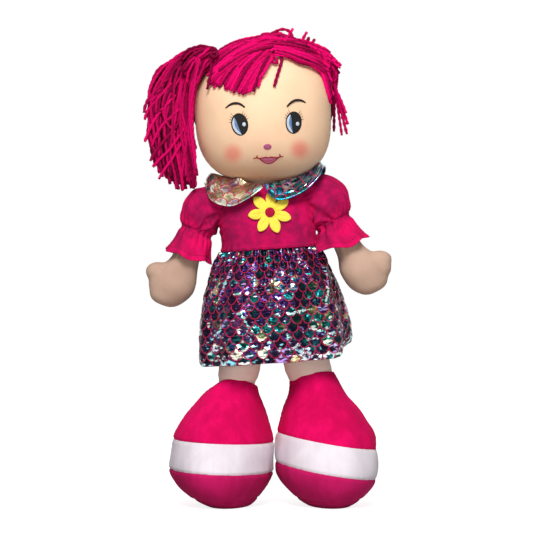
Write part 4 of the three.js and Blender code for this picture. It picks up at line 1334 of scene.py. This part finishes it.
def make_arm(name, hand):
    table = refine(ARM_SHARES, 90)[:, :, None]
    z = table[:, 0] * ARM_REACH
    wide = (table[:, 1] * ARM_WIDTH + table[:, 2] * HAND_WIDTH) / 2
    deep = (table[:, 1] * ARM_WIDTH + table[:, 2] * HAND_DEPTH) / 2
    _, x, y = ring(72)
    arm = loft("arm_knit_" + name, stacked(arm_bow(hand, z) + wide * x, deep * y, z), limb_knit_painted_shade)
    t = np.linspace(0.01, math.pi - 0.01, 40)[:, None]
    _, x, y = ring(40)
    reach = THUMB_WIDTH / 2 * np.sin(t)
    thumb = stacked(reach * x, reach * y, -THUMB_LENGTH / 2 * np.cos(t))
    place = placement((hand * THUMB_OUT, 0, -THUMB_DROP - THUMB_SINK[name]), hand * THUMB_ANGLE)
    web = thumb * (1.0, 1.0, 0.9) + (hand * WEB_OUT[name], 0, -WEB_DROP)
    extras = [loft("thumb_" + name, world(thumb, place), limb_knit_painted_shade), loft("web_" + name, web, limb_knit_painted_shade)]
    shape = bmesh.new()
    for part in (arm, *extras):
        shape.from_mesh(part.data)
    shape.to_mesh(arm.data)
    shape.free()
    for part in extras:
        bpy.data.objects.remove(part)
    modify(arm, "REMESH", mode="VOXEL", voxel_size=2.2 * MM)
    modify(arm, "SMOOTH", factor=0.6, iterations=14)
    modify(arm, "SUBSURF", levels=1, render_levels=1)
    points = np.empty(len(arm.data.vertices) * 3)
    arm.data.vertices.foreach_get("co", points)
    points = points.reshape(-1, 3) / MM
    x, y, z = points.T
    inward = np.stack([arm_bow(hand, z) - x, -y, 0 * z], -1)
    inward /= np.maximum(size_of(inward), 1)
    dents = 0.5 * waves(points, 26, 9) + 0.5 * np.sin(np.arctan2(y, x) * 15) * bell(z + 64, 7)
    points = points - inward * dents[:, None]
    arm.data.vertices.foreach_set("co", (world(points, ARMS[name]) * MM).ravel())
    arm.data.polygons.foreach_set("use_smooth", [True] * len(arm.data.polygons))
    arm.data.materials.clear()
    arm.data.materials.append(limb_knit_painted_shade.material)
    arm.data.update()
    dress(arm, "arm_" + name, "skin_knit", "arm_" + name)


def tree_of(*objects):
    """A search tree over the shapes of objects, in metres."""
    points, faces = [], []
    for obj in objects:
        first = len(points)
        points.extend(vertex.co.copy() for vertex in obj.data.vertices)
        faces.extend([first + index for index in polygon.vertices] for polygon in obj.data.polygons)
    return BVHTree.FromPolygons(points, faces)


def drape(tree, centre, directions):
    """Points where rays towards a centre meet the shapes of a tree."""
    found = np.empty(directions.shape)
    for index in np.ndindex(directions.shape[:-1]):
        direction = Vector(directions[index]).normalized()
        start = Vector(centre) * MM + direction * 0.3
        hit = tree.ray_cast(start, -direction)[0]
        found[index] = np.array(hit) / MM if hit is not None else np.array(centre) + np.array(direction) * 60
    return found


COLLAR_EDGES = {
    "left": (
        [(-4.5, -42, 401), (-14, -34, 403.5), (-28, -26, 405.5), (-42, -18, 409), (-58, -9, 414),
         (-69, 2, 416), (-67, 18, 415), (-56, 32, 411), (-34, 41, 408), (-1.5, 43, 406)],
        [(-4.5, -44, 399), (-14, -44, 390), (-28, -44, 381), (-43, -42, 375), (-61, -36, 378),
         (-71, -26, 387), (-75, -14, 397), (-77, 6, 403), (-72, 24, 396), (-58, 40, 384), (-34, 44, 377),
         (-1.5, 44, 379)],
    ),
    "right": (
        [(-1, -42, 402), (9.6, -34, 404), (24.7, -26, 408), (45, -18, 415), (60, -14, 424), (66, -12, 433),
         (67, 4, 430), (65, 18, 423), (55, 33, 417), (34, 41, 411), (1.5, 43, 406)],
        [(-1, -44, 402), (2, -44, 393), (8, -44, 386), (17, -44, 382), (36, -42, 388), (53, -38, 399),
         (64, -32, 412), (69, -24, 423), (73, -6, 424), (73, 14, 415), (64, 32, 402), (40, 44, 388),
         (1.5, 44, 380)],
    ),
}


def make_collar(name, hand, tree, finish):
    """A wing spanned between its two edges, which lies on whatever is below it."""
    rows, columns = 26, 120
    centre = world((0, 0, 96), TORSO)
    inner, outer = (refine(edge, columns) for edge in COLLAR_EDGES[name])
    t = np.linspace(0, 1, rows)[:, None]
    points = inner * (1 - t[..., None]) + outer * t[..., None]
    reach = points - centre
    length = size_of(reach)
    surface = size_of(drape(tree, centre, reach / length) - centre)
    points = centre + reach / length * np.maximum(length, surface + COLLAR_CLEARANCE)
    for _ in range(10):
        down = points[2:, 1:-1] + points[:-2, 1:-1]
        aside = points[1:-1, 2:] + points[1:-1, :-2]
        points[1:-1, 1:-1] = (points[1:-1, 1:-1] + down + aside) / 5
        for edge in (0, -1):
            points[edge, 1:-1] = (points[edge, 1:-1] * 2 + points[edge, 2:] + points[edge, :-2]) / 4
    out = points - centre
    out /= size_of(out)
    roll = 1.5 * bell(1 - t, 0.09) - 0.9 * bell(1 - t - 0.22, 0.06)
    puff = 1.6 * np.sin(math.pi * t)
    points = points + out * (roll + puff + 0.9 * waves(points, 26, 12))[..., None]
    points = points[:, ::hand]
    across = run_of(points[rows // 2])
    steps = np.linalg.norm(np.diff(points, axis=0), axis=2)
    down = np.vstack([np.zeros(columns), np.cumsum(steps, axis=0)])
    flat = stacked(across, down[-1] - down).reshape(-1, 2)
    quads = grid_faces(rows, columns, False, 1.0, 1.0)[0][:, ::-1]
    piece = build("collar_foil_" + name, points.reshape(-1, 3), quads, finish, flat[quads])
    thicken(piece, CLOTH["collar"])
    dress(piece, "torso", "scale_foil", "collar_" + name)


PETALS = 7
PETAL_ROWS = [(1, 0.1), (1, 1.6), (0.96, 2.2), (0.85, 2.35), (0.7, 2.3), (0.5, 2.1), (0.3, 2), (0.1, 2)]
BUTTON_ROWS = [(5.9, -0.4), (6.1, 0.6), (5.9, 1.5), (5.2, 2.1), (3.8, 2.4), (2, 2.5), (0.5, 2.5)]


def make_flower(tree):
    centre = world(FLOWER_PLACE, TORSO)
    angle = circle(PETALS * 22)
    half_petal = math.pi / PETALS
    turn = angle - math.radians(PETAL_TURN)
    aside = np.abs((turn + half_petal) % (2 * half_petal) - half_petal) / half_petal
    radius = PETAL_ROOT + PETAL_LENGTH * (1 - aside**1.35) ** 0.62
    vein = bell(aside, 0.12)
    notch = bell(1 - aside, 0.12)
    rows = []
    for share, lift in PETAL_ROWS:
        x = centre[0] + share * radius * np.sin(angle)
        z = centre[2] + share * radius * np.cos(angle)
        cup = 1.4 * share**2 * (1 - aside) - 0.8 * vein * math.sin(math.pi * share) - 1.1 * notch * share
        y = []
        for spot in zip(x, np.full(len(x), -200), z):
            start = Vector(spot) * MM
            hit = tree.ray_cast(start, Vector((0, 1, 0)))[0] or tree.find_nearest(start * 0.4)[0]
            y.append(hit.y / MM)
        rows.append(stacked(x, np.array(y) - 0.3 - lift - cup, z))
    piece = loft("flower_felt", np.array(rows)[:, ::-1], yellow_felt)
    dress(piece, "torso", "yellow_felt", "flower_petals")
    angle = circle(40)
    front = rows[-1][:, 1].min()
    button = []
    for reach, lift in BUTTON_ROWS:
        x = centre[0] + reach * np.sin(angle)
        button.append(stacked(x, front - lift, centre[2] + reach * np.cos(angle)))
    piece = loft("flower_button", np.array(button)[:, ::-1], red_felt)
    dress(piece, "torso", "red_felt", "flower_centre")


# Skirt

SKIRT_SHARES = [(0, 0), (0.04, 0.08), (0.1, 0.22), (0.2, 0.4), (0.35, 0.63), (0.57, 0.86), (0.79, 1), (1, 1)]
CREASES = [
    ((275.6, 322), (285.4, 315), (296, 311), (309, 309.4), (323, 304), 3.0, 5.0),
    ((240, 309), (243, 316), (248.5, 325.6), (254, 332), (259.4, 338), 2.6, 4.5),
    ((232, 268), (228, 278), (224, 288), (219.3, 300), (215, 308), 2.0, 4.0),
    ((290, 332), (304, 328), (318, 329), (332, 334), (343, 340), 2.4, 4.0),
    ((322, 262), (326, 276), (327, 290), (325, 304), (327, 318), 2.4, 4.5),
    ((206, 346), (214, 338), (222, 328), (228, 318), (236, 312), 2.0, 4.5),
]


def skirt_shape():
    """Rings of the skirt from the waist to the hem, in the torso's frame, and how far each has dropped."""
    drop = np.linspace(0, 1, 150)[:, None]
    table = refine(SKIRT_SHARES, 120)
    flare = np.interp(drop, table[:, 0], table[:, 1])
    narrow = (TORSO_WIDTH / 2 + SKIRT_GAP, TORSO_DEPTH / 2 + SKIRT_GAP)
    wide = narrow[0] + flare * (SKIRT_WIDTH / 2 - FOLD_DEPTH - narrow[0])
    deep = narrow[1] + flare * (SKIRT_DEPTH / 2 - FOLD_DEPTH - narrow[1])
    angle, x, y = ring(420, BODY_FULLNESS)
    fold = FOLD_DEPTH * drop * np.cos(FOLD_COUNT * angle)
    jitter = angle + 0.05 * np.sin(angle * 5 + 1) + 0.03 * np.sin(angle * 11)
    pleats = 2.3 * broadened(np.sin(jitter * 42), 0.6) * np.exp(-(drop / 0.14) ** 1.3)
    gather = pleats + 1.4 * np.sin(jitter * 21 + 1) * bell(drop, 0.32)
    lift = HEM_LIFT * drop**2 * np.maximum(0, np.cos(angle)) ** HEM_LIFT_FULLNESS
    z = WAIST + 1.0 - drop * (SKIRT_LENGTH + 1) + lift
    out = fold + gather
    points = stacked(wide * x + out * np.cos(angle), deep * y + out * np.sin(angle), z)
    points[..., 0] += nip(points[..., 0], points[..., 2])
    return drop, points


def make_skirt():
    drop, points = skirt_shape()
    out = -normals_of(points)
    crumple = 1.5 * waves(points, 34, 14) * np.sin(math.pi * np.clip(drop, 0, 1)) ** 0.5
    ridges = 1.5 * (1 - np.abs(waves(points, 22, 15))) + 0.9 * (1 - np.abs(waves(points, 12, 18)))
    relief = np.maximum(crumple + ridges - 0.6, -0.8) * np.clip(drop / 0.12, 0, 1)
    points = world(points + out * relief[..., None], TORSO)
    out = out @ TORSO[:3, :3].T
    # Painted glints, kept as the fold attribute: brighter towards the hem and at the waist pleats, and along
    # the crest of each crease
    glint = np.broadcast_to(0.25 * drop**2.5 + 0.14 * bell(drop, 0.07) - 0.06, points.shape[:-1])
    for *pixels, height, width in CREASES:
        line = refine(in_picture(pixels, 0)[:, [0, 2]], 24)
        gap = np.linalg.norm(points[..., None, [0, 2]] - line, axis=-1)
        ends = np.sin(np.linspace(0, math.pi, 24)) ** 0.5
        ridge = height * ends[gap.argmin(-1)] * np.maximum(0, 1 - gap.min(-1) / width) ** 1.2
        front = points[..., 1] < 0
        points = points + out * (ridge * front)[..., None]
        glint = np.maximum(glint, 0.5 * (ridge / height) ** 1.7 * (points[..., 1] < 0))
    seam = bell(points[..., 0] - SKIRT_SEAM, 1.2) * (points[..., 1] < 0)
    points = points - out * (1.5 * seam)[..., None]
    hem = np.clip((drop - 0.955) / 0.045, 0, 1)
    points = points - out * (2.2 * hem**2)[..., None]
    along = np.concatenate([[0], np.cumsum(np.linalg.norm(np.diff(points, axis=0), axis=-1).mean(1))])
    round_hem = run_of(np.vstack([points[-1], points[-1][:1]]))[-1]
    columns_round = round(round_hem / SCALE_WIDTH)
    piece = loft("skirt_foil", points[::-1], foil, columns_round * SCALE_WIDTH, along[::-1], caps=False)
    # The fold attribute holds the painted glints, with less of them along the seam
    folds = piece.data.attributes.new("fold", "FLOAT", "POINT")
    folds.data.foreach_set("value", (glint - 0.3 * seam)[::-1].astype(np.float32).ravel())
    thicken(piece, CLOTH["skirt"])
    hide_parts("skirt")
    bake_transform(piece)


# Legs and shoes

LEG_SHARES = [
    (-1, 0.83, 0.86, 0, 0), (-0.92, 0.86, 0.88, 0, 0), (-0.82, 0.98, 0.98, 0, 0), (-0.7, 1, 1, 0, 0),
    (-0.5, 0.97, 0.84, 0, 0), (-0.32, 0.92, 0.52, 0, 0), (-0.16, 0.87, 0.25, 0, 0),
    (0, 0.82, 0, 0.74, 0), (0, 0.8, 0, 0.64, 0.6), (0, 0.76, 0, 0.3, 0.92),
]
SHOE_SHARES = [
    (0, 0, 0.42, 0.66, 0.66, 0.79, 1), (0.03, 0, 0.54, 0.78, 0.76, 0.86, 0.8),
    (0.08, 0, 0.69, 0.9, 0.86, 0.95, 0.55), (0.16, 0, 0.87, 0.98, 0.95, 1, 0.3),
    (0.25, 0, 0.98, 1, 0.98, 1, 0.1), (0.34, 0, 1, 0.97, 1, 1, 0), (0.46, 0, 0.985, 0.88, 1, 0.92, 0),
    (0.58, 0.08, 0.91, 0.74, 0.93, 0.89, 0), (0.7, 0.25, 0.71, 0.55, 0.78, 0.72, 0),
    (0.8, 0.5, 0.47, 0.36, 0.52, 0.53, 0), (0.9, 0.76, 0.21, 0.15, 0.2, 0.33, 0), (1, 0.86, 0, 0, 0, 0, 0),
]


def make_leg(name, hand):
    hip = JOINTS["leg_" + name + "_swing"]
    length = hip[2] - SHOE_HEIGHT + LEG_TUCK
    place, wide, deep, seam, rise = np.moveaxis(refine(LEG_SHARES, 80), -1, 0)[..., None]
    z = place * length + rise * HIP_SEAM / 2
    middle = -hand * math.tan(math.radians(LEG_LEAN[name])) * place * length
    low = np.clip((-place - 0.4) / 0.2, 0, 1)
    wide = wide * LEG_WIDTH / 2 * (1 + (LEG_FULLNESS[name] - 1) * low)
    deep = (deep * LEG_DEPTH + seam * HIP_SEAM) / 2
    angle, x, y = ring(96)
    rings = stacked(middle + wide * x, deep * y, z)
    bends = np.sin(z * 0.62 + 1.6 * np.sin(angle + 1)) * bell(z + length - 16, 18)
    rings = rings + normals_of(rings) * (0.25 * bends + 0.4 * waves(rings, 30, 16))[..., None]
    piece = loft("leg_knit_" + name, rings + hip, leg_knit_painted_light)
    dress(piece, "leg_" + name, "skin_knit", "leg_" + name)


def shoe_rings(hand):
    level, leg, side, front, back, splay, sway = np.moveaxis(refine(SHOE_SHARES, 130), -1, 0)[..., None]
    wide = (leg * LEG_WIDTH + side * SHOE_WIDTH) / 2
    toe = leg * LEG_DEPTH / 2 + front * TOE_REACH
    heel = leg * LEG_DEPTH / 2 + back * HEEL_REACH
    _, x, y = ring(168)
    middle = hand * SHOE_SPLAY * splay + SHOE_SWAY * sway
    return stacked(middle + wide * x, np.where(y < 0, toe, heel) * y, level * SHOE_HEIGHT)


def make_shoe(name, hand):
    hip = JOINTS["leg_" + name + "_swing"]
    ankle = np.array((hip[0] + hand * LEG_LENGTH * math.tan(math.radians(LEG_LEAN[name])), hip[1], 0))
    place = placement(ankle, 0, hand * TOE_OUT)
    rings = shoe_rings(hand)
    rim = np.clip((rings[..., 2] / SHOE_HEIGHT - 0.86) / 0.14, 0, 1) ** 1.5
    middle, tilt, arch, bulge = RIM_SHAPE[name]
    front = np.clip(-rings[..., 1] / (LEG_DEPTH / 2), 0, 1)
    aside = (rings[..., 0] - SHOE_SWAY) / (LEG_WIDTH / 2)
    rings[..., 2] += rim * (middle + tilt * aside + arch * front**1.5)
    rings = world(rings, place)
    slant = math.radians(STRIPE_TILT[name])
    slope = np.array((math.sin(slant), 0, math.cos(slant)))
    low = world((hand * SHOE_SPLAY, 0, STRIPE_HEIGHT), place)
    high = world((hand * SHOE_SPLAY, 0, STRIPE_HEIGHT + STRIPE_WIDTH), place)
    heel = world((0, HEEL_SETBACK, 0), place)
    out = normals_of(rings)
    dent = np.zeros(rings.shape[:-1])
    front = rings[..., 1] < heel[1] + 1
    back = np.array((0, 1.0, 0))
    for seam, direction, only in ((low, slope, front), (high, slope, front), (heel, back, True)):
        off = (rings - seam) @ direction
        dent = dent - only * (1.5 * bell(off, 1.8))
        run = rings[..., 0] + rings[..., 2] * (0 if only is front else 1)
        dent = dent + only * 0.35 * np.sin(run * 0.75 + 2 * np.sin(run * 0.11)) * np.exp(-np.abs(off) / 6)
    dent = dent - 1.2 * bell(rings[..., 2] - SOLE, 1.6) + bulge * rim
    puff = 0.9 * waves(rings, 42, 17) * np.clip(rings[..., 2] / 30, 0, 1)
    rings = rings + out * ((dent + puff) * np.clip(rings[..., 2] / 3, 0, 1))[..., None]
    below_sole = ((0, 0, SOLE), (0, 0, 1))
    above_sole = ((0, 0, SOLE), (0, 0, -1))
    behind = (heel, (0, 1, 0))
    parts = {
        "sole": (plush_dark, "shoe_plush_dark", [below_sole]),
        "toe": (plush_dark, "shoe_plush_dark", [above_sole, (low, slope), behind]),
        "stripe": (plush_white, "white_plush", [(low, -slope), (high, slope), behind]),
        "vamp": (plush_pink, "shoe_plush", [(high, -slope), behind]),
        "heel": (plush_pink, "shoe_plush", [above_sole, (heel, (0, -1, 0))]),
    }
    for part, (finish, slot, planes) in parts.items():
        piece = loft(f"shoe_{part}_plush_{name}", rings, finish)
        for point, direction in planes:
            cut(piece, point, direction)
        nodes = [f"shoe_{part}_{name}"] + (["shoe_filling_" + name] if part == "vamp" else [])
        dress(piece, "leg_" + name, slot, *nodes)


# Floor, light and camera

FLOOR_REACH = 12000
FLOOR_GLOW = 0.84
SKY_GLOW = 0.27
FLOOR_GREY = (0.45, 0.45, 0.45, 1)
FLOOR_PAPER = (0.7, 0.7, 0.7, 1)
SKY_COLOUR = (0.95, 0.97, 1.0, 1)
WHITE = (1, 1, 1, 1)


def seen_directly(tree, *more):
    """1 for what the camera sees, itself or in a gloss, and for the other rays that are named."""
    path = tree.nodes.new("ShaderNodeLightPath")
    seen = Term(tree, path.outputs["Is Camera Ray"])
    for ray in ("Is Glossy Ray", *more):
        seen = seen.math("MAXIMUM", Term(tree, path.outputs[ray]))
    return seen


def choose(tree, output, choice, *shaders):
    join(tree, tree.nodes[output].inputs["Surface"], wire(tree, "MixShader", choice, *shaders))


def make_floor():
    """A floor that looks white to the camera and lights the doll as grey card."""
    paint = Finish("floor_paint", roughness=1.0, base_color=FLOOR_GREY, specular_ior_level=0.0)
    corners = [(x * FLOOR_REACH, y * FLOOR_REACH, -0.4) for x, y in ((-1, -1), (1, -1), (1, 1), (-1, 1))]
    floor = build("floor", corners, [(0, 1, 2, 3)], paint)
    tree = paint.tree
    paper = wire(tree, "BsdfDiffuse", FLOOR_PAPER)
    glow = wire(tree, "Emission", WHITE, FLOOR_GLOW)
    shown = wire(tree, "AddShader", paper, glow)
    choose(tree, "Material Output", seen_directly(tree), paint.shader.outputs[0], shown)


def make_world():
    sky = bpy.data.worlds.new("studio")
    bpy.context.scene.world = sky
    sky.use_nodes = True
    tree = sky.node_tree
    light = tree.nodes["Background"]
    join(tree, light.inputs["Color"], SKY_COLOUR)
    join(tree, light.inputs["Strength"], SKY_GLOW)
    white = wire(tree, "Background", WHITE, 1.0)
    choose(tree, "World Output", seen_directly(tree, "Is Transmission Ray"), light.outputs[0], white)


def make_lamp(name, place_m, size_m, power, target_m):
    light = bpy.data.lights.new(name, "AREA")
    light.shape = "DISK"
    light.size = size_m
    light.energy = power
    obj = bpy.data.objects.new(name, light)
    obj.location = place_m
    obj.rotation_euler = (Vector(target_m) - Vector(place_m)).to_track_quat("-Z", "Y").to_euler()
    bpy.context.scene.collection.objects.link(obj)


def make_camera():
    data = bpy.data.cameras.new("camera")
    data.sensor_width = SENSOR
    data.lens = SENSOR * CAMERA_DISTANCE / (PICTURE_PIXELS * MM_PER_PIXEL)
    data.clip_end = 100
    camera = bpy.data.objects.new("camera", data)
    lift = math.radians(CAMERA_ELEVATION)
    target = Vector(PICTURE_MIDDLE) * MM
    camera.location = target + Vector((0, -math.cos(lift), math.sin(lift))) * CAMERA_DISTANCE * MM
    camera.rotation_euler = (math.pi / 2 - lift, 0, 0)
    bpy.context.scene.collection.objects.link(camera)
    bpy.context.scene.camera = camera


make_camera()
make_floor()
make_world()
make_lamp("key", place_m=(-0.15, -1.8, 2.0), size_m=1.1, power=63, target_m=(0, 0, 0.32))
make_lamp("fill", place_m=(0.3, -1.5, 0.06), size_m=0.7, power=7.5, target_m=(0, 0, 0.12))
bpy.context.scene.view_settings.view_transform = "Standard"

make_head()
for side_name, side_hand in HANDS.items():
    make_eye(side_name, side_hand)
make_mouth_and_nose()
make_cap()
make_scalp()
make_fringe()
make_loose_strands()
make_bunch_left()
make_side_left()
make_bunch_right()
make_ties()
make_torso()
bodice = make_bodice()
sleeves = []
for side_name, side_hand in HANDS.items():
    sleeves.append(make_sleeve(side_name, side_hand))
    make_cuff(side_name, side_hand)
    make_arm(side_name, side_hand)
dress_tree = tree_of(bodice, *sleeves)
make_collar("left", -1, dress_tree, gold_foil)
make_collar("right", 1, dress_tree, cyan_foil)
make_flower(dress_tree)
make_skirt()
for side_name, side_hand in HANDS.items():
    make_leg(side_name, side_hand)
    make_shoe(side_name, side_hand)
